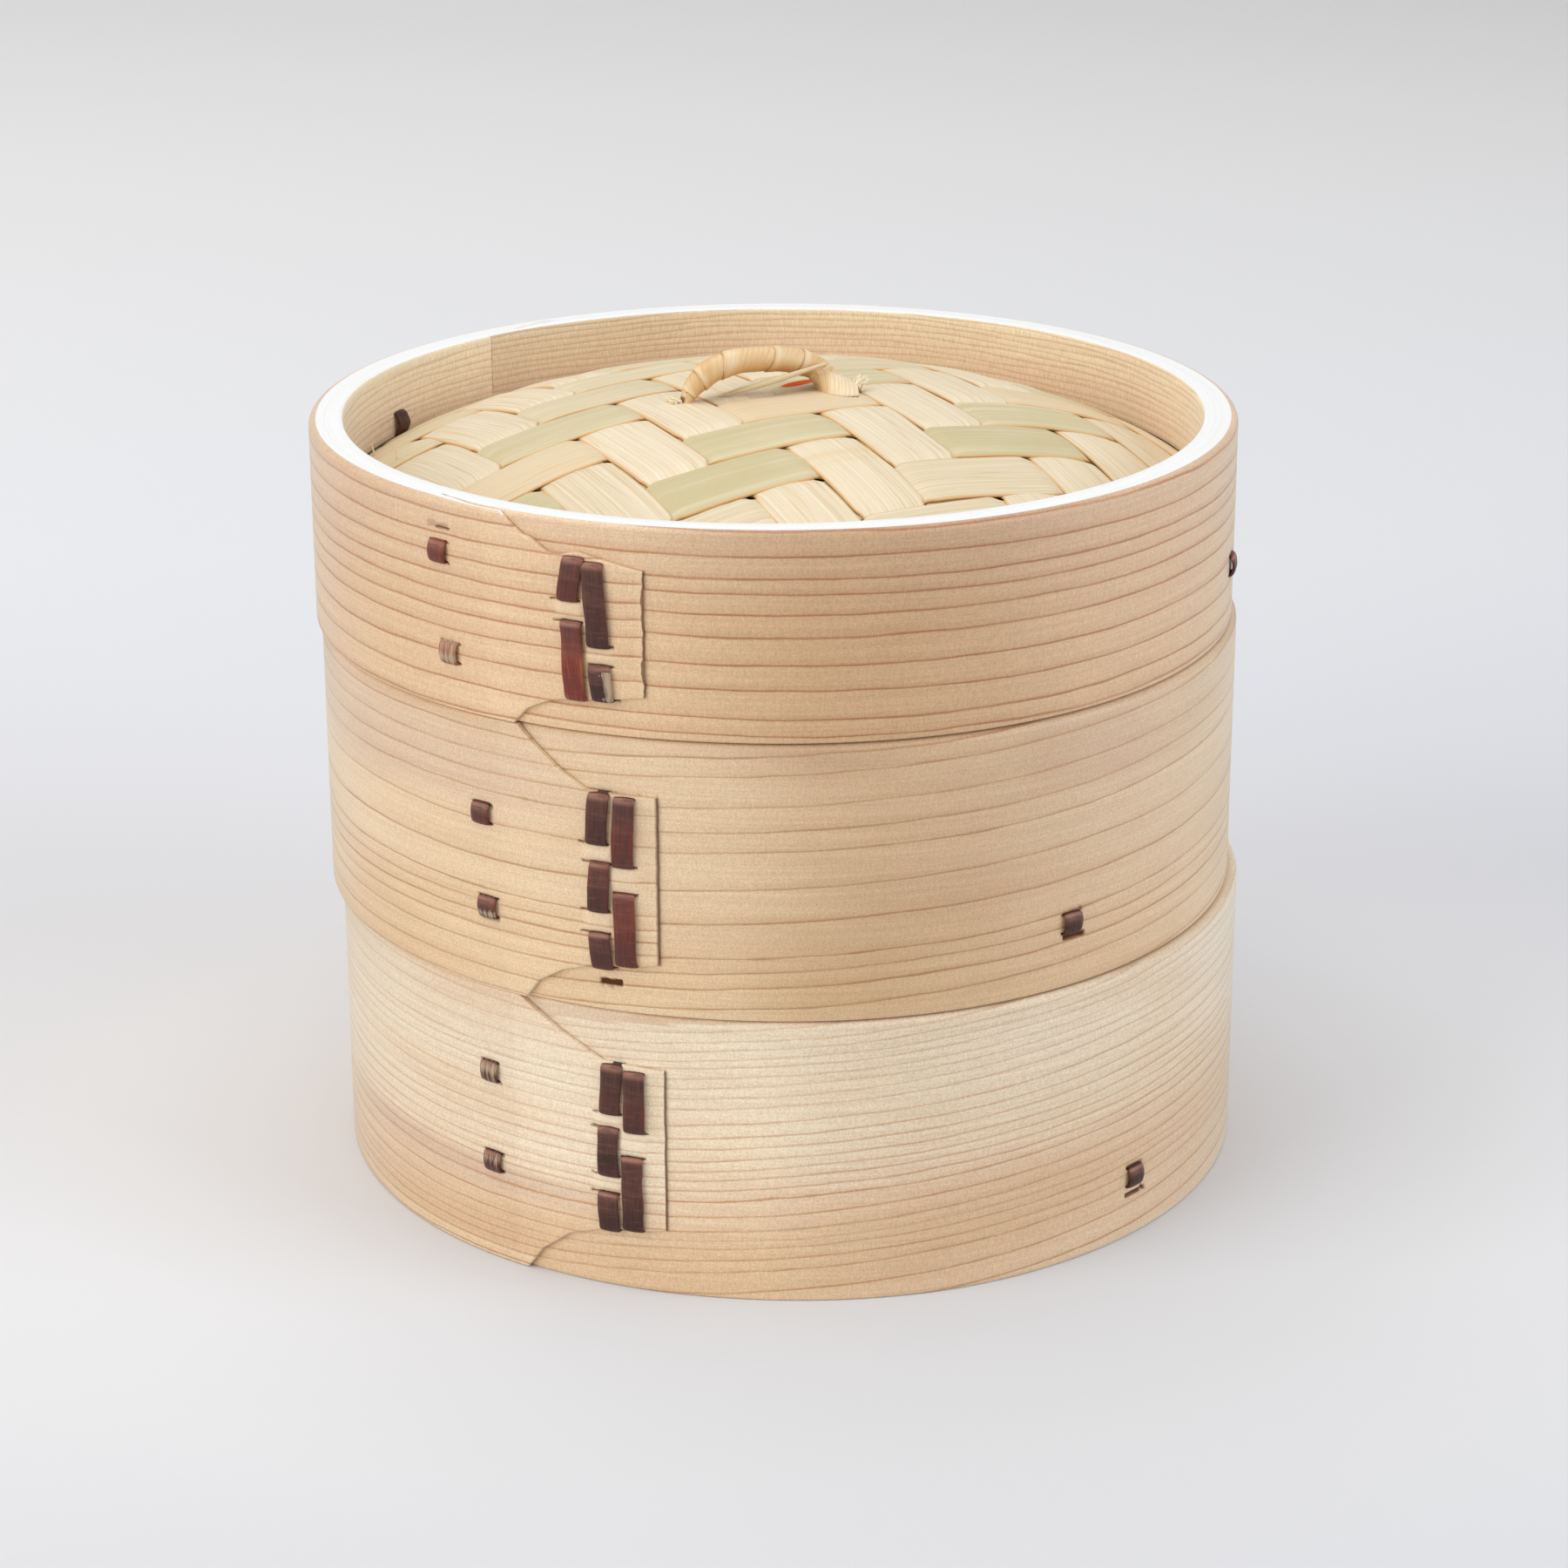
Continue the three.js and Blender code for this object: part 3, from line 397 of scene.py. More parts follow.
wood = {
    "radius": 90, "bandThickness": 3, "hoopThickness": 3.4, "hoopFit": 0.05, "tongueThickness": 1,
    "endThinning": 0.55, "feather": 0.35, "lapGap": 0.15, "lapStart": -42, "lapSlope": 6, "lapEase": 42,
    "rimRadius": 1.4, "footRadius": 0.45, "spigot": 5, "spigotThickness": 1.3, "nest": 6,
}
# tint, by angle round the ring, is partly painted light and shade (above 0 a painted sheen, below 0 painted shade) and
# partly the wood's own tone
rings = {
    "lower": {
        "body": "lower_tier", "base": 0, "height": 56, "shift": 1.2, "tongueEnd": -15.1,
        "top": [(-34.1, 1), (-28.5, 0.905), (-22.7, 0.822), (-15.1, 0.808)],
        "bottom": [(-33.7, 0), (-31.5, 0.085), (-27.5, 0.17), (-22.5, 0.216), (-15, 0.232)],
        "columns": [
            [(45.8, 35.5, -21.4, -21.7), (33.1, 22.9, -22.0, -22.0), (19.9, 11.75, -22.1, -22.0)],
            [(44.9, 32.4, -18.6, -18.7), (27.75, 12.4, -19.1, -18.9)],
        ],
        "highTies": [(-38.6, 0.69, 4.4)], "lowTies": [(-38.5, 0.36, 4.4), (46.8, 0.224, 4.4)],
        "firstLines": [59, 57.8, 55.4, 53.8, 51.9, 50.3, 48.2, 46.4, 44.4, 42.3, 39.1, 36.4, 34.2, 31.9,
                       29.9, 28.1, 25.9, 23.8, 20.4, 17.5, 15.5, 13.8, 11.4, 9.1, 4.8, 0.5, -4, -9],
        "lastLines": [56.5, 53.8, 50.6, 47.6, 44.1, 42.7, 40.5, 38.9, 36.6, 34.1, 31.4, 29.1, 26.9, 24.2,
                      22.1, 20.5, 18.7, 16.7, 13.6, 10.4, 8.4, 6.8, 4.9, 2.9, 1.0, -3, -6, -9.5],
        "strengths": [0.4, 0.4, 0.45, 0.45, 0.4, 0.45, 0.4, 0.4, 0.45, 0.5, 0.6, 0.6, 0.6, 0.65,
                      0.6, 0.65, 0.7, 1.0, 0.95, 0.85, 0.4, 0.75, 0.85, 0.9, 1.0, 1.0, 0.8, 0.8],
        "drift": [(-42, -7.6), (-15, -4.9), (0, -2.5), (20, 0), (38, 1.6), (55, 2.9), (72, 3.6), (150, 2.5), (288, 0), (345, -0.2)],
        "tint": [(-84, 0.02), (-44, 0.06), (-30, 0.2), (-4, 0.22), (4, 0.1), (14, 0.03), (40, 0.05), (84, 0.05), (300, 0.04), (345, 0.14)],
        "slits": [(45.3, 48.9, 8.9, 0.36, 1)],
        "blush": [(312, 10.6, 30, 1.5, 0.6), (-6, 15, 9, 3, -0.4), (318, 3, 42, 1.3, -0.5)],
    },
    "upper": {
        "body": "upper_tier", "base": 56.3, "height": 53, "shift": -0.8, "tongueEnd": -14.2,
        "top": [(-31.6, 1), (-29.4, 0.94), (-26, 0.86), (-22.7, 0.805), (-14.2, 0.796)],
        "bottom": [(-31.3, 0), (-29.6, 0.07), (-26.3, 0.13), (-22.5, 0.165), (-14, 0.189)],
        "columns": [
            [(42.5, 32.4, -21.0, -21.4), (29.4, 19.4, -21.0, -21.3), (15.7, 8.4, -21.3, -20.8)],
            [(42.2, 28.5, -17.9, -18.2), (23.9, 9.4, -18.1, -17.9)],
        ],
        "highTies": [(-37.1, 0.648, 4.4)], "lowTies": [(-36.5, 0.305, 4.4), (36.6, 0.238, 4.4)],
        "firstLines": [57, 52.4, 49, 42.8, 38.2, 34.2, 27.1, 20.6, 13.8, 11, 8, 4.2, -1.6, -5.6, -9.6, -14],
        "lastLines": [59, 55, 50.8, 46.5, 42.7, 39.1, 33.2, 26.1, 19.7, 17, 14.6, 12.1, 8.9, 4.2, 0.7, -5],
        "strengths": [0.8, 0.8, 0.75, 0.6, 0.7, 0.75, 0.7, 1, 0.95, 0.7, 1, 0.75, 0.8, 0.85, 0.7, 0.7],
        "drift": [(-42, -4.5), (-15, -2.4), (0, -1.3), (20, 0), (42, 1.4), (60, 2.5), (72, 3.1), (150, 3.2), (230, 1), (288, -0.7), (310, 0), (345, -0.2)],
        "tint": [(-84, -0.02), (-44, 0.0), (-36, 0.08), (-30, 0.12), (-16, 0.12), (-6, 0.03), (4, -0.14), (12, -0.19), (24, -0.17), (40, -0.04), (60, 0.02), (84, 0.06), (300, 0.0), (345, 0.12)],
        "blush": [(308, 10.7, 32, 2.5, 0.5), (318, 7.9, 36, 1.5, -0.4), (40, 11, 30, 3, 0.2)],
        "slits": [(-21.5, -18.9, 5.6, 0.55, 1), (35.5, 38.6, 9.8, 0.36, 1)],
    },
    "lid": {
        "body": "lid", "base": 109.6, "height": 39, "shift": -1.8, "tongueEnd": -14.9,
        "top": [(-32.8, 1), (-29.7, 0.91), (-28.6, 0.9), (-26.4, 0.845), (-24.8, 0.84), (-22.6, 0.862), (-14.9, 0.793)],
        "bottom": [(-31.3, 0), (-29.5, 0.08), (-27, 0.13), (-24.4, 0.156), (-14.9, 0.197)],
        "columns": [
            [(32.9, 24.4, -22.9, -23.6), (21.1, 6.2, -23.3, -22.8)],
            [(32.2, 16.4, -20.6, -19.9), (13.5, 6.5, -19.9, -19.5)],
        ],
        "highTies": [(-41.8, 0.752, 4.4), (-113.8, 0.69, 5.2)], "lowTies": [(-40.4, 0.274, 4.4), (77, 0.32, 4.4)],
        "firstLines": [43.5, 38.6, 34.2, 30, 27.2, 23.6, 19.5, 14.3, 9.6, 4.4, 1.3, -4],
        "lastLines": [41.5, 36.9, 32.8, 28.9, 25.4, 22.4, 19, 15.6, 10.9, 5.8, 0.8, -4],
        "strengths": [1, 0.8, 1, 1, 0.9, 0.95, 1, 1, 1, 0.95, 0.85, 1],
        "drift": [(-42, 0.8), (-15, 0.45), (0, 0.2), (20, 0), (72, -0.4), (180, 0.3), (288, -0.2), (330, -0.15), (345, -0.25)],
        "tint": [(-84, 0.05), (-48, 0.05), (-34, 0.26), (-16, 0.24), (-4, 0.02), (4, -0.1), (14, -0.14), (26, -0.1), (40, 0.05), (60, 0.12), (84, 0.18), (300, 0.05), (318, 0.14), (330, 0.24), (345, 0.24)],
        "slits": [(316.5, 319.7, 34.2, 0.5, 0.3), (317.8, 319.9, 33.8, 0.14, 0.8)], "blush": [],
    },
}
full = 360


def lineHeights(ring, along):
    # heights of the growth lines at places along the strip: from the first list to the last
    # one round the back, plus the drift, the whole smoothed over some degrees
    fine = np.arange(-60.0, 400.0, 2.0)
    drift = np.interp(fine, *np.array(ring["drift"], float).T)
    drift = np.convolve(np.pad(drift, 4, "edge"), np.ones(9) / 9, "valid")
    change = eased(fine, 72, 288)[:, None]
    first, last = np.array(ring["firstLines"], float), np.array(ring["lastLines"], float)
    table = first * (1 - change) + last * change + drift[:, None]
    return np.stack([np.interp(along, fine, column) for column in table.T], -1)


def growthFields(heights, strengths, z):
    # for each point, how many gaps lie below it in all, the gap it lies in, and the strength of
    # the nearest line. heights: places x lines from the top down, z: places x rows
    high, low = heights[:, None, :-1], heights[:, None, 1:]
    parts = np.clip((z[..., None] - low) / (high - low), 0, 1)
    growth = parts.sum(-1)
    inside = (parts > 0) & (parts < 1)
    spacing = np.where(inside.any(-1), (inside * (high - low)).sum(-1), 3.0)
    upwards = np.array(strengths, float)[::-1]
    return {"growth": growth, "spacing": spacing, "strength": np.interp(growth, np.arange(len(upwards)), upwards)}


def merged(values, least):
    # sorted values without those closer together than the least step
    values = np.sort(np.asarray(values, float))
    keep = np.concatenate([[True], np.diff(values) > least])
    return values[keep]


def outline(ring, key, along):
    # share of the height at a place along the strip, which only narrows in the tongue
    lapped = along - full
    share = np.interp(lapped, *np.array(ring[key], float).T)
    return np.where(lapped > wood["lapStart"], share, 1.0 if key == "top" else 0.0)


bark = {"width": 4.2, "thickness": 0.65, "lift": 0.15, "bulge": 0.35, "play": 0.2, "tail": 4, "tieHeight": 4.4}


def slitHeights(column):
    # the middles of the strip where a column's runs go in and out, from the top down
    half = bark["thickness"] / 2
    return [(run[0] - half, run[1] + half) for run in column]


def slitsOf(ring):
    # every slit as (left angle, right angle, height, half height, depth), on the strip's own angles; the depth sinks
    # the groove and paints shade into it
    slits = []
    degree = 180 / (math.pi * wood["radius"])
    for k, column in enumerate(ring["columns"]):
        for (high, low), run in zip(slitHeights(column), column):
            for j, (z, a) in enumerate(((high, run[2]), (low, run[3]))):
                first, last = run is column[0] and j == 0, run is column[-1] and j == 1
                lapped = 0 if first or last else full
                left, right = (3.5 if lapped else 2.3, 2.1) if k == 0 else (2.1, 2.5)
                slits.append((a - left * degree + lapped, a + right * degree + lapped, z, 0.1, 0.8))
    for angle, share, high in ring["highTies"] + ring["lowTies"]:
        middle, reach = ring["height"] * share, (high - bark["thickness"]) / 2
        lapped = full if angle < -15 else 0
        for z in (middle + reach, middle - reach):
            slits.append((angle - 2.2 * degree + lapped, angle + 2.4 * degree + lapped, z, 0.12, 0.8))
    return slits + ring["slits"]


def makeBand(key, ring):
    # A closed section is carried along the strip, from its shaved start under the lap once round
    # to the end of the tongue. The outer face has grooves at the slits and raised bars between
    # the runs of lacing.
    height = ring["height"]
    end = full + ring["tongueEnd"]
    slits = slitsOf(ring)
    degree = 180 / (math.pi * wood["radius"])
    stations = list(np.arange(wood["lapStart"], end, 1.5)) + [end]
    for left, right, *_ in slits:
        stations += [left - 0.35 * degree, left, right, right + 0.35 * degree]
    for key2 in ("top", "bottom"):
        stations += [a + full for a, _ in ring[key2] if a + full < end]
    stations += [ring["tongueEnd"] + d for d in (-0.2, -0.1, 0, 0.08, 0.16, 0.26, 0.4)] + [end - 0.3, end - 0.08]
    stations += [*np.arange(-36, -15, 0.75), *np.arange(full - 36, end, 0.75)]
    along = merged(np.clip(stations, wood["lapStart"], end), 0.06)
    along[-1] = end
    lapped = along - full
    top, bottom = height * outline(ring, "top", along), height * outline(ring, "bottom", along)

    inner0 = wood["radius"] - wood["bandThickness"]
    lapOuter = wood["radius"] - wood["tongueThickness"] - wood["lapGap"]
    feather = inner0 + wood["feather"]
    slope = lambda a: feather + (lapOuter - feather) * eased(a, wood["lapStart"], wood["lapStart"] + wood["lapSlope"])
    outer = slope(along) + (wood["radius"] - lapOuter) * eased(along, ring["tongueEnd"], ring["tongueEnd"] + wood["lapEase"])
    outer = outer - wood["endThinning"] * eased(along, end - 3, end)
    inner = np.where(lapped < wood["lapStart"] - 0.75, inner0, slope(lapped) + wood["lapGap"])
    limit = (outer - inner) * 0.47
    rim, foot = np.minimum(wood["rimRadius"], limit), np.minimum(wood["footRadius"], limit)
    rim = np.where(lapped > ring["top"][0][0], np.minimum(rim, 0.3), rim)
    foot = np.where(lapped > ring["bottom"][0][0], np.minimum(foot, 0.3), foot)

    # rows of the outer face: an even set and five for each slit
    at = np.argmin(abs(along - (full - 20)))
    lowFace, highFace = bottom + foot, top - rim
    shares = list(np.linspace(0, 1, int(height / 0.9)))
    for left, right, z, half, _ in slits:
        k = at if full - 30 < left < full - 10 else 0
        if k == 0:
            lowK, highK = wood["footRadius"], height - wood["rimRadius"]
        else:
            lowK, highK = lowFace[k], highFace[k]
        shares += [(z + d - lowK) / (highK - lowK) for d in (-half - 0.22, -half, 0, half, half + 0.22)]
    shares = merged([s for s in shares if 0 <= s <= 1], 0.0022)
    shares[0], shares[-1] = 0, 1
    z = lowFace[:, None] + (highFace - lowFace)[:, None] * shares
    a = np.repeat(along[:, None], len(shares), 1)
    # painted shade in the slits and cracks: the gap field darkens them and sinks their grooves
    gap = np.zeros_like(z)
    for k, (left, right, place, half, depth) in enumerate(slits):
        rough = 0.12 * waver(a / degree, 1.7, 40 + k)
        line = window(a, left, right, 0.35 * degree) * window(z + rough, place - half, place + half, 0.2)
        gap = np.maximum(gap, depth * line)
    fresh, raised = np.zeros_like(z), np.zeros_like(z)
    for k, column in enumerate(ring["columns"]):
        for above, below in zip(column, column[1:]):
            low, high = below[0], above[1]
            mid = full + (above[3] + below[2]) / 2
            across = 1 - eased(abs(a - mid) / degree, 1.7, 3.6)
            swell = np.clip(1 - ((z - (low + high) / 2) / ((high - low) / 2)) ** 2, 0, 1)
            raised += 0.4 * across * swell
            fresh = np.maximum(fresh, 0.45 * across * window(z, low, high, 0.1))
    # the tongue's edges are a little rough and pale
    onTongue = (lapped > ring["top"][0][0])[:, None]
    nearEnd = eased(along, end - 1.0, end)[:, None] * onTongue
    ragged = {"lid": 0.26, "upper": 0.06, "lower": 0.08}[key]
    rough = ragged * degree * (0.9 * waver(z, 6.5, 5 + height) + 0.35 * waver(z, 1.5, 6 + height))
    radius = outer[:, None] - 0.45 * gap + raised * (1 - gap)
    # painted shadow: a narrow dark line just beyond the tongue's end, where its step shades the strip beneath
    beside = window(a - rough, ring["tongueEnd"], ring["tongueEnd"] + 0.1, 0.1)
    within = window(z, height * ring["bottom"][-1][1], height * ring["top"][-1][1], 0.1)
    gap = np.maximum(gap, 0.6 * beside * within)
    a = a + nearEnd * rough
    fresh = np.maximum(fresh, 0.3 * nearEnd)

    heights = lineHeights(ring, along)
    fields = growthFields(heights, ring["strengths"], z)
    # the tint by angle: painted light and shade, with some of the wood's own tone
    tint = np.interp(np.where(along > end - 20, lapped, along), *np.array(ring["tint"], float).T)[:, None]
    fields["gap"], fields["fresh"] = gap, fresh
    blush = np.zeros_like(z)
    for angle, line, reach, lines, amount in ring["blush"]:
        blush += amount * np.exp(-((a - angle) / reach) ** 4 - ((fields["growth"] - line) / lines) ** 4)
    fields["blush"] = blush

    # the rest of the section: rounded top edge, top, inner face, foot and its rounding
    arc = np.radians([15, 32, 50, 70, 90])
    topRadius = (outer - rim)[:, None] + rim[:, None] * np.cos(arc)
    topHeight = highFace[:, None] + rim[:, None] * np.sin(arc)
    flat = np.stack([outer - rim - (outer - rim - inner) * t for t in (0.5, 0.995)], -1)
    innerFace = np.repeat(inner[:, None], 5, 1)
    innerHeight = bottom[:, None] + (top - bottom)[:, None] * np.array([0.9995, 0.75, 0.5, 0.25, 0.005])
    flatLow = np.stack([inner + (outer - foot - inner) * t for t in (0.04, 0.5)], -1)
    arc2 = np.radians([90, 60, 30])
    footRadius = (outer - foot)[:, None] + foot[:, None] * np.cos(arc2)
    footHeight = lowFace[:, None] - foot[:, None] * np.sin(arc2)
    r = np.concatenate([radius, topRadius, flat, innerFace, flatLow, footRadius], 1)
    h = np.concatenate([z, topHeight, np.repeat(top[:, None], 2, 1), innerHeight, np.repeat(bottom[:, None], 2, 1), footHeight], 1)
    extra = r.shape[1] - len(shares)
    a = np.concatenate([a, np.repeat(a[:, -1:], extra, 1)], 1)
    rest = growthFields(heights, ring["strengths"], np.clip(h[:, len(shares):], 0.0, height))
    rest["gap"] = rest["fresh"] = rest["blush"] = np.zeros_like(rest["growth"])
    fields = {name: np.concatenate([fields[name], rest[name]], 1) for name in fields}
    fields["tint"] = np.repeat(tint, r.shape[1], 1)
    # the tongue's end face painted dark: its end grain, and the shade it stands in
    fields["gap"][-1] = 0.75
    # across the top and bottom the UV goes on along the thickness
    v = h.copy()
    v[:, len(shares) + 5:] += (outer[:, None] - r[:, len(shares) + 5:]) * 1.0
    shape = tube(around(ring, a, r, h))
    quads = r.shape[1]
    picks = np.tile(np.arange(quads), len(along) - 1)
    n = len(shares)
    whole = np.repeat(lapped[:-1] < ring["top"][0][0], quads)
    onTop = (picks >= n + 4) & (picks < n + 7) & whole
    uv = np.stack([np.radians(a) * wood["radius"], v], -1).reshape(-1, 2)
    return addPiece(f"{key}_band_wood", ring["body"], [f"{key}_band"], shape, [woods[key], rimWood if key == "lid" else tierRim],
                    uv, fields, onTop.astype(int), 50)


for key, ring in rings.items():
    band = makeBand(key, ring)
    print(band.name, len(band.data.polygons), "faces")


# Inner hoops. Each one's ends are shaved and lapped, and the inner end stands as a line.

hoopLooks = {
    "joints": {"high": -146, "low": 150}, "lap": 11, "tip": 0.75, "inner": 83.4, "outer": 86.995,
    "spigotOuter": 84.7, "edge": 0.45,
    "bottoms": {"lower": 27.5, "upper": 26.15, "lid": 24.25}, "lowTops": {"lower": 25.2, "upper": 23.85, "lid": 21.7},
    "lidFirst": [42, 40, 37, 35.7, 34.2, 32.6, 31, 29.7, 28.5, 27, 25.6, 24.4, 22],
    "lidLast": [40.6, 38.7, 37.4, 36.3, 34.9, 33.7, 32.4, 31, 29.6, 28.1, 26.6, 25.2, 23.4],
    # tint by angle of the lid's hoops: painted light and shade on the inner wall, with some of the wood's own tone
    "tint": [(-150, 0.14), (-100, 0.16), (-60, 0.1), (95, 0.28), (118, 0.15), (160, 0.13), (180, 0.1), (200, -0.06), (226, -0.03)],
}


def hoopLines(key, place, height):
    if key == "lid" and place == "high":
        return hoopLooks["lidFirst"], hoopLooks["lidLast"]
    dice = np.random.default_rng({"lower": 3, "upper": 4, "lid": 5}[key] + (10 if place == "high" else 0))
    first = np.arange(height + 9, -4, -2.2)
    first = first + dice.uniform(-0.5, 0.5, first.size)
    return first.tolist(), (first + dice.uniform(-0.5, 0.5, first.size)).tolist()


def makeHoop(key, ring, place):
    # a strip carried once round and a little further, its section shaved to a slope at both ends
    looks = hoopLooks
    start = looks["joints"][place]
    end = start + full + looks["lap"]
    tall = place == "high" and key != "lid"
    bottom = looks["bottoms"][key] if place == "high" else wood["nest"]
    top = ring["height"] if place == "high" else looks["lowTops"][key]
    crown = top + wood["spigot"] if tall else top
    seam = start + looks["lap"]
    along = merged([*np.arange(start, end, 2.0), end, end - 0.05, seam, seam + 0.12, seam + 0.3, seam + 0.8], 0.02)
    along[-1] = end
    spread = looks["outer"] - looks["inner"]
    outer = looks["outer"] - (spread - looks["tip"]) * eased(along, end - looks["lap"] - 3, end)
    outer = np.where(along > end - looks["lap"], np.minimum(outer, looks["inner"] + spread * 0.9), outer)
    inner = looks["inner"] + np.where(along < seam + 0.12, looks["tip"] + 0.12 + (spread - looks["tip"] - 0.4) * (1 - eased(along, start, seam)), 0)
    thinOuter = np.minimum(outer, looks["spigotOuter"] - 0.6 * eased(along, end - looks["lap"] - 1, end - looks["lap"]))
    thinInner = np.minimum(inner, looks["spigotOuter"] - 0.5)
    wide, o, i = np.ones_like(along)[:, None], outer[:, None], inner[:, None]
    to, ti = (thinOuter[:, None], thinInner[:, None]) if tall else (o, i)
    e = looks["edge"]
    rows = np.arange(bottom + 0.3, crown - e, 1.0)
    arc = np.radians([0, 30, 60, 90])
    r = [o - 0.3, o, *[o for _ in range(3)]]
    h = [bottom, bottom + 0.3, *np.linspace(bottom + 1, top - 0.3, 3)]
    if tall:
        r += [o, o - 0.1, to + 0.12, to]
        h += [top - 0.05, top, top, top + 0.12]
    outerEdge = 0.3 if tall else 0.004
    r += [to - outerEdge + outerEdge * math.cos(t) for t in arc]
    h += [crown - outerEdge + outerEdge * math.sin(t) for t in arc]
    r += [ti + e - e * math.sin(t) for t in arc]
    h += [crown - e + e * math.cos(t) for t in arc]
    r += [np.where(z > top, ti, i) for z in rows[::-1]] + [i + 0.3]
    h += [*rows[::-1], bottom]
    r = np.concatenate([x * wide for x in r], 1)
    h = np.concatenate([x * wide for x in h], 1)
    # the whole is a little uneven, as bent wood is
    r = r - 0.12 * (waver(along, 70, 7 + len(key))[:, None]) * (r < looks["outer"] - 1)
    first, last = hoopLines(key, place, ring["height"])
    change = eased(along, -60, 90)[:, None]
    lines = np.array(first) * (1 - change) + np.array(last) * change
    lines = lines + 0.4 * waver(along[:, None] + 0 * lines, 60, 21) + 0.3 * waver(along[:, None] + 9.0 * np.arange(lines.shape[1]), 25, 22)
    lines = -np.sort(-lines, 1)
    strengths = np.full(lines.shape[1], 0.6)
    fields = growthFields(lines, strengths, h)
    fields["gap"] = 0.4 * window(along, seam + 0.02, seam + 0.1, 0.05)[:, None] * (r < looks["inner"] + 0.6)
    fields["fresh"] = fields["blush"] = np.zeros_like(h)
    # lid only: painted light and shade on the inner wall by angle, with some of the wood's own tone
    tint = np.interp(along, *np.array(looks["tint"], float).T)[:, None] if key == "lid" else 0
    fields["tint"] = tint + 0 * h
    a = along[:, None] * np.ones_like(h)
    shape = tube(around(ring, a, r, h))
    n = r.shape[1]
    onTop = np.zeros(n, int)
    mid = (h[0] + np.roll(h[0], -1)) / 2
    onTop[(mid > crown - 0.25 * e) | (abs(mid - top) < 0.06)] = 1
    uv = np.stack([np.radians(a) * 85, h + (looks["outer"] - r) * (abs(h - crown) < e)], -1).reshape(-1, 2)
    name = f"{key}_hoop_{place}"
    return addPiece(f"{name}_wood", ring["body"], [name], shape, [woods["hoop"], rimWood], uv, fields,
                    np.tile(onTop, len(along) - 1), 50)


for key, ring in rings.items():
    for place in ("high", "low"):
        makeHoop(key, ring, place)
print("hoops made")


# Strips of bark: the lacing and the single ties

def barkMaterial():
    material, tree, shader = newMaterial("bark", 0.42, 0.28)
    strip = put(tree, "UVMap", uv_map="strip")
    tone, worn = field(tree, "tone"), field(tree, "worn")
    streak = grain(tree, strip, (2.6, 0.16, 1), 3, 4, 0.6)
    cross = grain(tree, strip, (0.25, 1.6, 1), 8, 3, 0.6)
    redness = calc(tree, "MULTIPLY_ADD", calc(tree, "SUBTRACT", streak, 0.5), 0.9, tone)
    base = ramp(tree, redness, [(0.0, color(56, 32, 27)), (0.35, color(84, 48, 40)), (0.7, color(124, 52, 38)), (1.0, color(186, 112, 72))])
    base = blendColor(tree, fade(tree, cross, 0.55, 0.75, 0.0, 0.3), base, color(134, 90, 76))
    # painted highlight on the bend where each run turns into its upper slit
    base = blendColor(tree, calc(tree, "MULTIPLY", field(tree, "bend"), fade(tree, cross, 0.3, 0.6, 0.35, 1.0)), base, color(176, 122, 100))
    pale = fade(tree, calc(tree, "MULTIPLY_ADD", calc(tree, "SUBTRACT", streak, 0.5), 1.2, worn), 0.35, 0.7, 0.0, 1.0)
    base = blendColor(tree, pale, base, color(184, 158, 130))
    tree.links.new(base, shader.inputs["Base Color"])
    tree.links.new(fade(tree, pale, 0.0, 1.0, 0.36, 0.7), shader.inputs["Roughness"])
    bump(tree, shader, calc(tree, "ADD", streak, calc(tree, "MULTIPLY", cross, 0.3)), 0.5)
    return material


barkWood = barkMaterial()
outsideRadius = wood["radius"] + bark["lift"] + bark["thickness"] / 2
barkInside = wood["radius"] - wood["bandThickness"] + bark["lift"] + bark["thickness"] / 2
# names of strips with how red they are at the top and at the bottom and how worn, all 0 to 1
barkTones = {
    "lid_lacing_1": (0.25, 0.75, 0), "lid_lacing_2": (0.22, 0.25, 0), "upper_lacing_1": (0.25, 0.32, 0),
    "upper_lacing_2": (0.25, 0.55, 0), "lower_lacing_1": (0.22, 0.22, 0), "lower_lacing_2": (0.2, 0.2, 0),
    "lid_tie_high_1": (0.62, 0.6, 0.1), "lid_tie_high_2": (0.2, 0.2, 0), "lid_tie_low_1": (0.85, 0.95, 0.55),
    "lid_tie_low_2": (0.2, 0.2, 0), "upper_tie_high": (0.3, 0.3, 0.05), "upper_tie_low_1": (0.3, 0.3, 0.25),
    "upper_tie_low_2": (0.15, 0.15, 0), "lower_tie_high": (0.25, 0.25, 0.4), "lower_tie_low_1": (0.25, 0.25, 0.3),
    "lower_tie_low_2": (0.12, 0.12, 0.1),
}


def smoothPath(corners, step, soft, loop=False):
    # the polyline cut into short pieces, averaged twice over a length that rounds its corners
    corners = np.asarray(corners, float)
    if loop:
        corners = np.concatenate([corners, corners[:1]])
    place = np.concatenate([[0], np.cumsum(np.linalg.norm(np.diff(corners, axis=0), axis=1))])
    fine = np.linspace(0, place[-1], max(int(place[-1] / (step / 4)), 16) + 1)
    points = np.stack([np.interp(fine, place, c) for c in corners.T], -1)
    points = points[:-1] if loop else points
    half = max(int(soft / (step / 4) / 2), 1)
    window = np.ones(2 * half + 1) / (2 * half + 1)
    for _ in range(2):
        if loop:
            padded = np.concatenate([points[-half:], points, points[:half]])
        else:
            reach = np.arange(half, 0, -1)[:, None]
            padded = np.concatenate([2 * points[0] - points[reach.ravel()], points, 2 * points[-1] - points[-1 - reach[::-1].ravel()]])
        points = np.stack([np.convolve(c, window, "valid") for c in padded.T], -1)
    return points[::4]


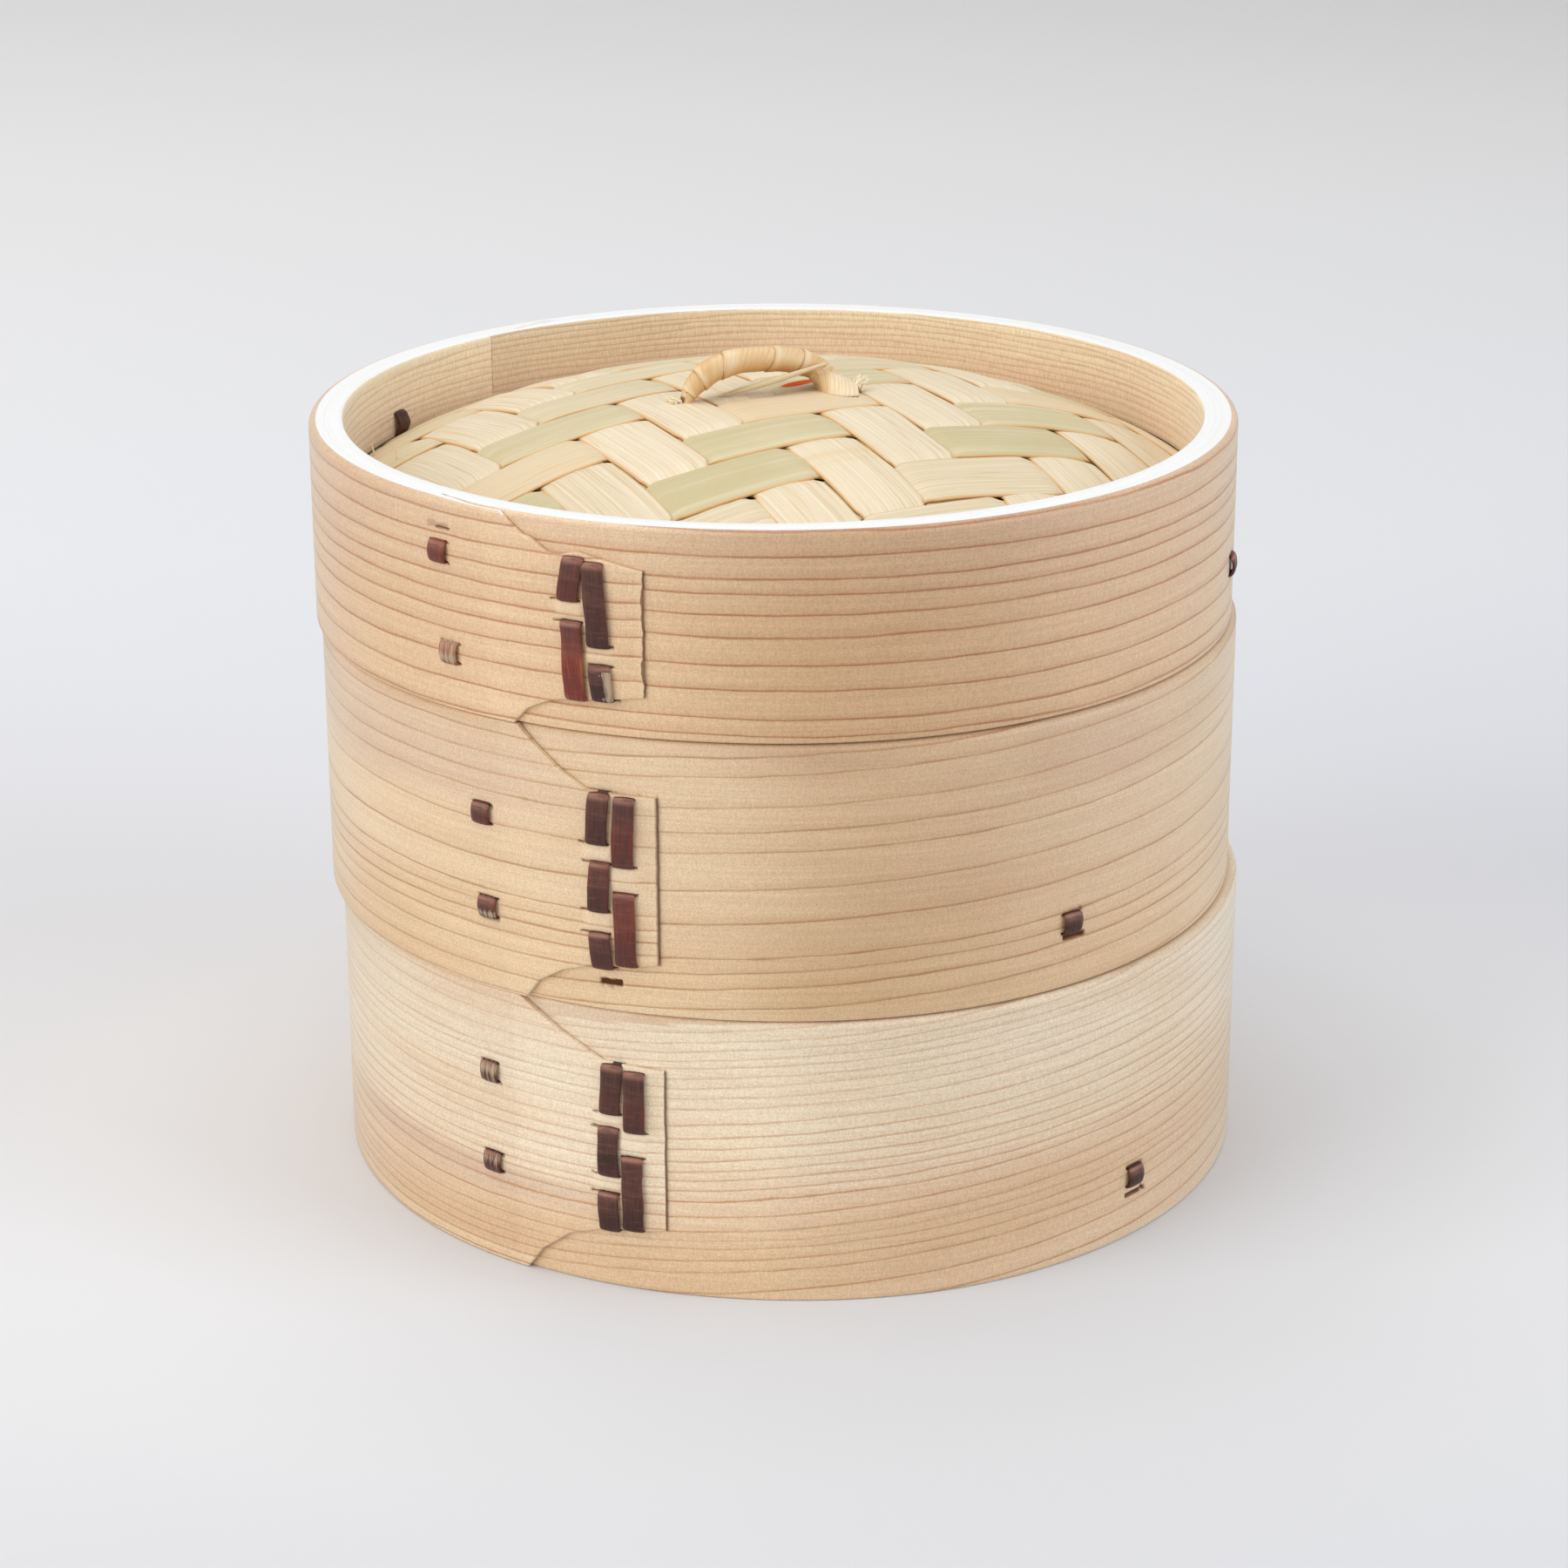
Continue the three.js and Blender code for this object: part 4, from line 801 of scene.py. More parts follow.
# points of a bark strip's section: side and lift, as shares of half the width and in mm
barkSection = np.array([
    (-1, 0), (-0.96, 0.2), (-0.84, 0.32), (-0.5, 0.4), (0, 0.43), (0.5, 0.4), (0.84, 0.32), (0.96, 0.2),
    (1, 0), (0.95, -0.22), (0.5, -0.3), (0, -0.3), (-0.5, -0.3), (-0.95, -0.22),
])


def barkStrip(ring, name, path, angleAt, loop, seed, wornAt=None, width=None):
    # the crowned section carried along a path of radius and height, standing square to it
    points = smoothPath(path, 0.3, 0.9, loop)
    if loop:
        tangent = np.roll(points, -1, 0) - np.roll(points, 1, 0)
    else:
        tangent = np.gradient(points, axis=0)
    tangent /= np.linalg.norm(tangent, axis=1)[:, None]
    normal = np.stack([-tangent[:, 1], tangent[:, 0]], -1)
    length = np.arange(len(points)) * 0.3
    half = (width or bark["width"]) / 2 * (1 + 0.025 * waver(length, 9, seed))
    side, lift = barkSection.T
    across = half[:, None] * side + 0.1 * waver(length, 12, seed + 1)[:, None]
    r = points[:, :1] + normal[:, :1] * lift
    z = points[:, 1:] + normal[:, 1:] * lift
    angle = angleAt(points[:, 1])[:, None] + 0 * r
    shape = tube(around(ring, angle, r, z, across), loop)
    upper, lower, worn = barkTones[name]
    ends = eased(abs(side), 0.75, 1.0)
    drop = (points[:, 1:].max() - points[:, 1:]) / np.ptp(points[:, 1])
    tones = upper + (lower - upper) * drop + 0.12 * waver(length, 14, seed + 2)[:, None] + 0.18 * ends
    wear = worn + 0.25 * waver(length, 5, seed + 3)[:, None] * (worn > 0) + 0 * tones
    if wornAt is not None:
        wear = wear + wornAt(points[:, 1:], side[None, :], length[:, None])
    # a painted highlight, lighter and pinkish, where the strip bends over into its upper slit
    bend = 0.75 * window(tangent[:, 1], -0.92, -0.55, 0.1) * (normal[:, 0] > 0) * (normal[:, 1] > 0)
    uv = np.stack([across + 0 * r, length[:, None] + 0 * r], -1).reshape(-1, 2)
    return addPiece(f"{name}_strip", ring["body"], [name], shape, [barkWood], uv,
                    {"tone": tones + 0 * r, "worn": wear, "bend": bend[:, None] + 0 * r}, None, 60)


def makeLacing(key, ring, number, column):
    heights = slitHeights(column)
    path = [(barkInside, heights[0][0] + bark["tail"])]
    for high, low in heights:
        path += [(barkInside, high), (outsideRadius - 0.1, high), (outsideRadius + 0.12, high - 0.6),
                 (outsideRadius + bark["bulge"] * 0.8, (high + low) / 2), (outsideRadius + 0.12, low + 0.6),
                 (outsideRadius - 0.1, low), (barkInside, low)]
    path.append((barkInside, heights[-1][1] - bark["tail"]))
    flat = [z for pair in heights for z in pair]
    angles = [a for run in column for a in run[2:]]
    angleAt = lambda z: np.interp(z, flat[::-1], angles[::-1])
    name = f"{key}_lacing_{number}"
    wornAt = None
    if name == "lid_lacing_2":
        # the lowest run is torn: its right side shows pale fibre
        high, low = heights[-1]
        wornAt = lambda z, side, length: 0.6 * eased(side + 0.22 * waver(length, 2.5, 4), 0.05, 0.25) * window(z, low + 0.2, high - 0.9, 0.3)
    return barkStrip(ring, name, path, angleAt, False, 100 + int(ring["base"]) + number, wornAt)


def makeTie(key, ring, name, angle, share, high):
    middle, reach = ring["height"] * share, (high - bark["thickness"]) / 2
    inside = hoopLooks["inner"] - bark["lift"] - bark["thickness"] / 2
    high, low = middle + reach, middle - reach
    path = [(outsideRadius, high), (outsideRadius + 0.4, middle), (outsideRadius, low), (inside, low), (inside - 1.0, middle), (inside, high)]
    return barkStrip(ring, name, path, lambda z: np.full(z.shape, float(angle)), True, 200 + int(angle), width=4.1)


for key, ring in rings.items():
    for number, column in enumerate(ring["columns"], 1):
        makeLacing(key, ring, number, column)
    for place in ("high", "low"):
        ties = ring[f"{place}Ties"]
        for number, tie in enumerate(ties, 1):
            makeTie(key, ring, f"{key}_tie_{place}" + (f"_{number}" if len(ties) > 1 else ""), *tie)
print("bark strips made")


# Split bamboo: ribbons of the weave, floor slats and cross bars. Their UV is length and width.

def bambooMaterial(name, pale, green, edge, shift):
    material, tree, shader = newMaterial(name, 0.5, 0.35)
    strip = put(tree, "UVMap", uv_map="strip")
    tone, shade, side, knot, stain = (field(tree, key) for key in ("tone", "shade", "side", "knot", "stain"))
    apart = put(tree, "CombineXYZ", {0: 0.0, 1: calc(tree, "MULTIPLY", shade, 371.0), 2: 0.0})
    own = put(tree, "VectorMath", {0: strip, 1: apart}, operation="ADD")
    fibre = grain(tree, own, (0.018, 2.2, 1), shift, 5, 0.7)
    band = grain(tree, own, (0.008, 0.5, 1), shift + 4, 3, 0.5)
    blotch = grain(tree, own, (0.04, 0.12, 1), shift + 9, 3, 0.5)
    greenness = calc(tree, "MULTIPLY", tone, fade(tree, calc(tree, "ADD", calc(tree, "MULTIPLY", band, 0.5), calc(tree, "MULTIPLY", blotch, 0.5)), 0.3, 0.62, 0.55, 1.1))
    base = blendColor(tree, greenness, pale, green)
    rough = calc(tree, "MULTIPLY_ADD", tone, -0.7, 1.0)
    base = blendColor(tree, calc(tree, "MULTIPLY", rough, fade(tree, fibre, 0.5, 0.7, 0.0, 0.4)), base, color(214, 180, 130))
    base = blendColor(tree, calc(tree, "MULTIPLY", rough, fade(tree, fibre, 0.34, 0.47, 0.6, 0.0)), base, color(244, 232, 206))
    # thin lines along the strip where a second noise passes its middle
    thread = grain(tree, own, (0.012, 1.15, 1), shift + 15, 2, 0.5)
    threads = fade(tree, calc(tree, "ABSOLUTE", calc(tree, "SUBTRACT", thread, 0.5)), 0.0, 0.035, 0.55, 0.0)
    base = blendColor(tree, calc(tree, "MULTIPLY", rough, threads), base, color(206, 168, 114))
    base = blendColor(tree, fade(tree, band, 0.3, 0.5, 0.15, 0.0), base, color(240, 226, 194))
    level = calc(tree, "MULTIPLY_ADD", calc(tree, "SUBTRACT", shade, 0.5), 0.16, 1.0)
    grey = put(tree, "CombineColor", {0: level, 1: level, 2: level})
    base = blendColor(tree, 1.0, base, grey, "MULTIPLY")
    base = blendColor(tree, calc(tree, "MULTIPLY", knot, 0.4), base, color(226, 190, 138))
    # one stain behind the handle, an ellipse along the ribbon there
    spot = put(tree, "TexCoord", output=3)
    x, y = put(tree, "SeparateXYZ", {0: spot}, output=0), put(tree, "SeparateXYZ", {0: spot}, output=1)
    along = calc(tree, "MULTIPLY_ADD", x, 1 / 0.004, -0.0034 / 0.004)
    across = calc(tree, "MULTIPLY_ADD", calc(tree, "MULTIPLY_ADD", x, -0.79, y), 1 / 0.0019, -0.0036 / 0.0019)
    away = calc(tree, "ADD", calc(tree, "MULTIPLY", along, along), calc(tree, "MULTIPLY", across, across))
    stained = calc(tree, "MULTIPLY", stain, fade(tree, away, 0.6, 1.2, 0.95, 0.0))
    base = blendColor(tree, stained, base, color(202, 80, 30))
    tree.links.new(fade(tree, stained, 0.0, 0.8, 0.35, 0.0), shader.inputs["Specular IOR Level"])
    base = blendColor(tree, side, base, edge)
    tree.links.new(base, shader.inputs["Base Color"])
    bump(tree, shader, fibre, 0.5, 0.00025)
    return material


bamboo = bambooMaterial("split_bamboo", color(230, 213, 182), color(203, 189, 144), color(220, 172, 110), 1.0)
weaveLooks = {
    "angle": 27.8, "edgeHeight": 23.85, "rise": 17.35, "power": 2.57, "reach": 85.4, "round": 83.4, "thick": 0.5, "swing": 0.43,
    "crown": 0.36, "pinch": 0.7, "gap": 0.42, "turn": 2.3, "starts": (0.44, -2.1), "pitches": (14.66, 14.51), "first": -6, "count": 12,
}
# how green each flat ribbon is, from the front one to the back one, and where nodes cross ribbons
flatGreen = [0.1, 0.2, 0.25, 0.95, 0.9, 0.1, 0.8, 0.6, 0.5, 0.45, 0.4, 0.4]
flatShade = [0.5, 0.4, 0.45, 0.35, 0.5, 0.3, 0.4, 0.5, 0.6, 0.5, 0.5, 0.5]
nodeMarks = {("steep", -1): [-38.7], ("steep", 2): [38], ("steep", -4): [46], ("flat", -5): [30], ("flat", 3): [-22], ("steep", 4): [-60]}


def domeHeight(x, y):
    looks = weaveLooks
    r = np.minimum(np.hypot(x, y) / looks["round"], 1)
    dip = 0.5 * eased(np.hypot(x, y), looks["round"] - 0.1, looks["round"] + 0.8)
    return looks["edgeHeight"] + looks["rise"] * (1 - r ** looks["power"]) - dip


def swingAt(kind, index, place):
    # +1 where the ribbon lies on top, -1 where it dives, with a smooth turn at the borders of the
    # squares: each ribbon goes over two and under two, a step on from its neighbour
    other = 1 if kind == "steep" else 0
    start, pitch = weaveLooks["starts"][other], weaveLooks["pitches"][other]
    t = (place - start) / pitch
    border = np.round(t)
    phase = lambda k: np.mod(index - k - 2, 4) if kind == "steep" else np.mod(k - index - 2, 4)
    over = lambda k: np.where((phase(k) < 2) == (kind == "steep"), 1.0, -1.0)
    before, after = over(border - 1), over(border)
    turn = weaveLooks["turn"]
    return before + (after - before) * eased((t - border) * pitch, -turn, turn)


ribbonSection = np.array([
    (-1, 0), (-0.99, 0.7), (-0.96, 1), (-0.92, 1.02), (-0.6, 1.12), (-0.2, 1.18), (0.2, 1.18), (0.6, 1.12),
    (0.92, 1.02), (0.96, 1), (0.99, 0.7), (1, 0), (0.99, -0.8), (0.6, -0.95), (0, -0.9), (-0.6, -0.95), (-0.99, -0.8),
])
ribbonSide = np.array([1, 0.8, 0.6, 0, 0, 0, 0, 0, 0, 0.6, 0.8, 1, 1, 0.3, 0.3, 0.3, 1])


def ribbon(kind, index):
    looks = weaveLooks
    own = 0 if kind == "steep" else 1
    start, pitch = looks["starts"][own], looks["pitches"][own]
    low, high = start + pitch * index + looks["gap"] / 2, start + pitch * (index + 1) - looks["gap"] / 2
    limit = looks["reach"] - 1.2
    low, high = max(low, -limit), min(high, limit)
    if high - low < 2:
        return None
    q = (low + high) / 2 + ribbonSection[:, 0] * (high - low) / 2
    reach = np.sqrt(looks["reach"] ** 2 - q ** 2)
    share = np.linspace(-1, 1, int(2 * reach.max() / 0.75) + 2)[:, None]
    p = share * reach
    seed = 300 + index * 7 + own * 100
    q = q + 0.16 * waver(p, 50, seed) + 0.14 * ribbonSection[:, 0] * waver(p, 30, seed + 1)
    # narrower where the ribbon passes from over to under, which opens the corners of the squares
    level = swingAt(kind, index, p)
    q = q - looks["pinch"] * (1 - level ** 2) * ribbonSection[:, 0]
    u, v = (q, p) if kind == "steep" else (p, q)
    slant = math.radians(looks["angle"])
    x, y = u * math.cos(slant) - v * math.sin(slant), u * math.sin(slant) + v * math.cos(slant)
    pinched = 1 - 0.35 * eased(np.hypot(x, y), 78, 83)
    swing = level * looks["swing"] * pinched
    z = domeHeight(x, y) + swing + ribbonSection[:, 1] * looks["thick"] / 2 - looks["crown"] * ribbonSection[:, 0] ** 2 + 0.12 * waver(p, 35, seed + 2)
    knot = np.zeros_like(p)
    for mark in nodeMarks.get((kind, index), []):
        away = p - mark + 0.6 * waver(q, 8, seed + 3)
        knot += np.exp(-(away / 1.3) ** 2) + 0.6 * np.exp(-((away + 3.2) / 0.8) ** 2)
    z = z + 0.16 * knot * (ribbonSection[:, 1] > 0.5)
    dice = np.random.default_rng(seed)
    green, shade = dice.uniform(0, 0.12), dice.uniform(0.25, 0.75)
    if kind == "flat":
        green, shade = flatGreen[index - looks["first"]], flatShade[index - looks["first"]]
    if (kind, index) == ("flat", -1):
        knot = np.maximum(knot, 0.8)  # one ribbon of a browner bamboo
    fields = {"tone": green + 0 * p, "shade": shade + 0.001 * index + 0 * p, "side": ribbonSide + 0 * p, "knot": knot, "stain": 1 + 0 * p}
    points = np.stack([x + rings["lid"]["shift"], y, z + rings["lid"]["base"]], -1)
    return tube(points), np.stack([p, q], -1).reshape(-1, 2), fields


def bodyFields(rows):
    # the same fields for several bodies, padded for the two middle points of each body's end fans
    return {key: np.concatenate([np.append(f[key].ravel(), [f[key].ravel()[0]] * 2) for f in rows]) for key in rows[0]}


def makeWeave():
    for kind in ("steep", "flat"):
        made = [r for r in (ribbon(kind, weaveLooks["first"] + k) for k in range(weaveLooks["count"])) if r]
        uv = np.concatenate([np.concatenate([m[1], m[1][:1], m[1][-1:]]) for m in made])
        piece = addPiece(f"lid_weave_{kind}", "lid", ["lid_woven_sheet"] if kind == "steep" else [], joined([m[0] for m in made]),
                         [bamboo], uv, bodyFields([m[2] for m in made]), None, 50)
        print(piece.name, len(piece.data.polygons), "faces")


makeWeave()

floorLooks = {
    "lower": 25.2, "upper": 23.85, "rest": 0.3, "count": 9, "width": 12, "thick": 2, "span": 0.84, "end": 86.3, "thinFrom": 82.9, "thin": 0.42,
    "barPlace": 0.42, "barWidth": 8, "barThick": 3.5, "edge": 0.55,
}


def bambooBar(ring, name, half, thick, place, level, alongX, seed, thinned):
    # a rounded flat section carried along the bar, its ends cut on a circle, with a node or two
    looks = floorLooks
    e = looks["edge"]
    arc = np.radians([0, 30, 60, 90])
    corner = lambda sy, sz: [(sy * (half - e + e * math.cos(t)), sz * (thick / 2 - e + e * math.sin(t))) for t in arc]
    section = corner(1, 1) + [(half * 0.4, thick / 2 + 0.12), (-half * 0.4, thick / 2 + 0.12)] + corner(-1, 1)[::-1] + corner(-1, -1) + corner(1, -1)[::-1]
    w, n = np.array(section).T
    reach = np.sqrt(looks["end"] ** 2 - (place + w) ** 2)
    share = np.linspace(-1, 1, 180)[:, None]
    p = share * reach
    dice = np.random.default_rng(seed)
    marks = dice.uniform(-60, 60, 1)
    knot = sum(np.exp(-((p - m) / 1.2) ** 2) + 0.6 * np.exp(-((p - m - 3.0) / 0.8) ** 2) for m in marks)
    side = (abs(w) > half - 0.3) * 0.8 + 0 * p
    q = place + w + 0.15 * waver(p, 60, seed)
    z = level + thick / 2 + n + 0.1 * knot * (n > 0) * (1 if thinned else 0)
    if thinned:
        far = np.hypot(p, q)
        z = np.where(n > 0, z - looks["thin"] * eased(far, looks["thinFrom"] - 0.6, looks["thinFrom"]) * (n > 0), z)
    x, y = (p, q + 0 * p) if alongX else (q + 0 * p, p)
    points = np.stack([x + ring["shift"], y, z + ring["base"] + 0 * p], -1)
    fields = {"tone": dice.uniform(0.05, 0.4) + 0 * p, "shade": dice.uniform(0.1, 0.9) + 0 * p, "side": side, "knot": knot, "stain": 0 * p}
    uv = np.stack([p, q + 0 * p], -1).reshape(-1, 2)
    return addPiece(f"{name}_cane", ring["body"], [name], tube(points), [bamboo], uv, fields, None, 40)


def makeFloor(key, ring):
    looks = floorLooks
    pitch = (2 * looks["span"] * hoopLooks["inner"] - looks["width"]) / (looks["count"] - 1)
    for k in range(looks["count"]):
        place = (k - (looks["count"] - 1) / 2) * pitch
        bambooBar(ring, f"{key}_slat_{k + 1}", looks["width"] / 2, looks["thick"], place, looks[key] + looks["rest"], True, 400 + k + int(ring["base"]), True)
    for k, side in enumerate((-1, 1)):
        place = side * looks["barPlace"] * hoopLooks["inner"]
        bambooBar(ring, f"{key}_cross_bar_{k + 1}", looks["barWidth"] / 2, looks["barThick"] - 0.12, place, looks[key] - looks["barThick"], False, 450 + k, False)


for key in ("lower", "upper"):
    makeFloor(key, rings[key])
print("floors made")


# Handle: a rattan core and its wrap of peel, both along one arch in an upright plane. Points are
# places along the plane from the lid's middle and heights in the lid.

handle = {
    "angle": 24, "core": 1.75, "peel": 2.4, "foot": 0.46,
    "arch": [(-18.4, 37.5), (-18.6, 41.06), (-18.2, 42.4), (-17.1, 44.0), (-15.5, 45.65), (-13.3, 47.1), (-11.0, 47.9),
             (-7.3, 48.45), (-4.7, 48.5), (-1.4, 48.3), (2.3, 47.8), (5.8, 46.9), (8.6, 45.7), (10.6, 44.2),
             (11.2, 42.6), (11.3, 40.8), (11.2, 38.5)],
    "seams": [(-18.6, -0.6), (-15.8, 1), (-11.6, 2), (-6.3, 2.48), (-1.0, 3), (5.0, 4), (10.2, 5), (11.3, 5.9)],
    # the stub's upper and lower edge as place, height and distance in front of the plane
    "stubTop": [(6.3, 44.9, 1.0), (8.3, 45.6, 1.8), (10.6, 45.0, 2.4), (13.3, 44.1, 2.8), (15.6, 43.0, 3.4)],
    "stubFoot": [(8.7, 41.7, 1.3), (8.3, 41.7, 4.8), (8.3, 41.65, 7.4), (10.3, 41.65, 9.9), (13.4, 41.65, 10.6)],
}


def rattanMaterial():
    material, tree, shader = newMaterial("rattan", 0.42, 0.4)
    strip = put(tree, "UVMap", uv_map="strip")
    fibre = grain(tree, strip, (0.12, 1.5, 1), 6, 4, 0.6)
    blotch = grain(tree, strip, (0.15, 0.12, 1), 2, 3)
    base = blendColor(tree, fade(tree, fibre, 0.35, 0.7, 0.0, 0.55), color(230, 197, 148), color(206, 160, 103))
    base = blendColor(tree, fade(tree, blotch, 0.45, 0.7, 0.0, 0.5), base, color(214, 160, 100))
    base = blendColor(tree, calc(tree, "MULTIPLY", field(tree, "pale"), 0.8), base, color(246, 232, 200))
    # painted shade: the low field darkens and browns the underside of the wrap; on the stub it browns the less pale
    # part towards the foot
    base = blendColor(tree, calc(tree, "MULTIPLY", field(tree, "low"), 0.75), base, color(202, 146, 84))
    # the gap field darkens the seams of the wrap, partly painted shadow; the split at the left foot and the line under
    # the stub's lower edge, painted shade; and the stub's valleys and back face
    base = blendColor(tree, field(tree, "gap"), base, color(112, 72, 44))
    tree.links.new(base, shader.inputs["Base Color"])
    bump(tree, shader, fibre, 0.6, 0.0002)
    return material


rattan = rattanMaterial()
handleTurn = math.radians(handle["angle"])
handleAlong = np.array([math.cos(handleTurn), math.sin(handleTurn), 0])
handleFront = np.array([math.sin(handleTurn), -math.cos(handleTurn), 0])
lidMiddle = np.array([rings["lid"]["shift"], 0, rings["lid"]["base"]])


def inPlane(points, front=0.0):
    # points of the handle's plane, moved towards the front
    points = np.asarray(points, float)
    return lidMiddle + points[..., :1] * handleAlong + points[..., 1:2] * np.array([0, 0, 1.0]) + np.asarray(front)[..., None] * handleFront


def frames(path):
    # unit tangents and two square directions along a path, the first one as near to up as can be
    tangent = np.gradient(path, axis=0)
    tangent /= np.linalg.norm(tangent, axis=1)[:, None]
    side = np.cross(tangent, handleFront)
    side = np.where((np.abs(side).sum(1) < 0.2)[:, None], np.array([0, 0, 1.0]), side)
    side = -side / np.linalg.norm(side, axis=1)[:, None]
    return tangent, side, np.cross(tangent, side)


def rod(path, radii, sides=10, flat=1.0, turn=0.0):
    # a round or flattened section along a path, with one radius per point of the path
    _, up, out = frames(path)
    t = np.linspace(0, 2 * np.pi, sides, endpoint=False)
    r = np.broadcast_to(radii, (len(path),))[:, None, None]
    return tube(path[:, None] + r * (up[:, None] * (np.cos(t) * flat)[:, None] + out[:, None] * np.sin(t)[:, None]))


def makeStub():
    # the end of the peel at the right foot: a bulging sheet from under the arch down to the weave,
    # ridged by its fibres. Each row is one closed outline, down the front and up the back.
    across = np.linspace(0, 1, 150)
    ends = [np.stack([np.interp(across, np.linspace(0, 1, 5), c) for c in np.array(handle[key]).T], -1)
            for key in ("stubTop", "stubFoot")]
    down = np.linspace(0, 1, 14)[None, :, None]
    sheet = ends[0][:, None] * (1 - down) + ends[1][:, None] * down
    ridge = np.abs(np.sin(np.pi * (across[:, None] * 15 + 0.15 * waver(across[:, None] * 10 + down[..., 0] * 0.5, 3, 5))))
    swell = 4 * down[..., 0] * (1 - down[..., 0])
    sheet[..., 1] += 0.5 * swell + 0.09 * ridge
    sheet[..., 2] += 0.6 * swell + 0.12 * ridge
    back = sheet[:, ::-1] - np.array([0, 0.35, 0.8])
    points = np.concatenate([sheet, back], 1)
    n = down.size
    # darker along the valleys between the ridges, with a painted shadow line under the right part of the lower edge and
    # a slightly darker back face
    dark = 0.3 * (1 - eased(ridge, 0.02, 0.25)) * (across > 0.2)[:, None]
    dark = dark * (0.6 + 0.5 * waver(across[:, None] * 9 + down[..., 0] * 4, 2.5, 8))
    dark = np.maximum(dark, 0.6 * eased(down[..., 0], 0.93, 1) * eased(across, 0.4, 0.6)[:, None])
    gap = np.concatenate([dark, np.full((across.size, n), 0.25)], 1)
    pale = np.repeat(0.15 + 0.5 * eased(across, 0.35, 0.7)[:, None], 2 * n, 1)
    rise = np.concatenate([down[0, :, 0], down[0, ::-1, 0]]) * 7
    uv = np.stack(np.broadcast_arrays(rise[None, :], across[:, None] * 11), -1).reshape(-1, 2)
    addPiece("lid_handle_stub", "lid", [], tube(inPlane(points[..., :2], points[..., 2])), [rattan], uv,
             {"gap": gap, "pale": pale, "low": 0.35 * (1 - pale) * rise / 7}, None, 50)


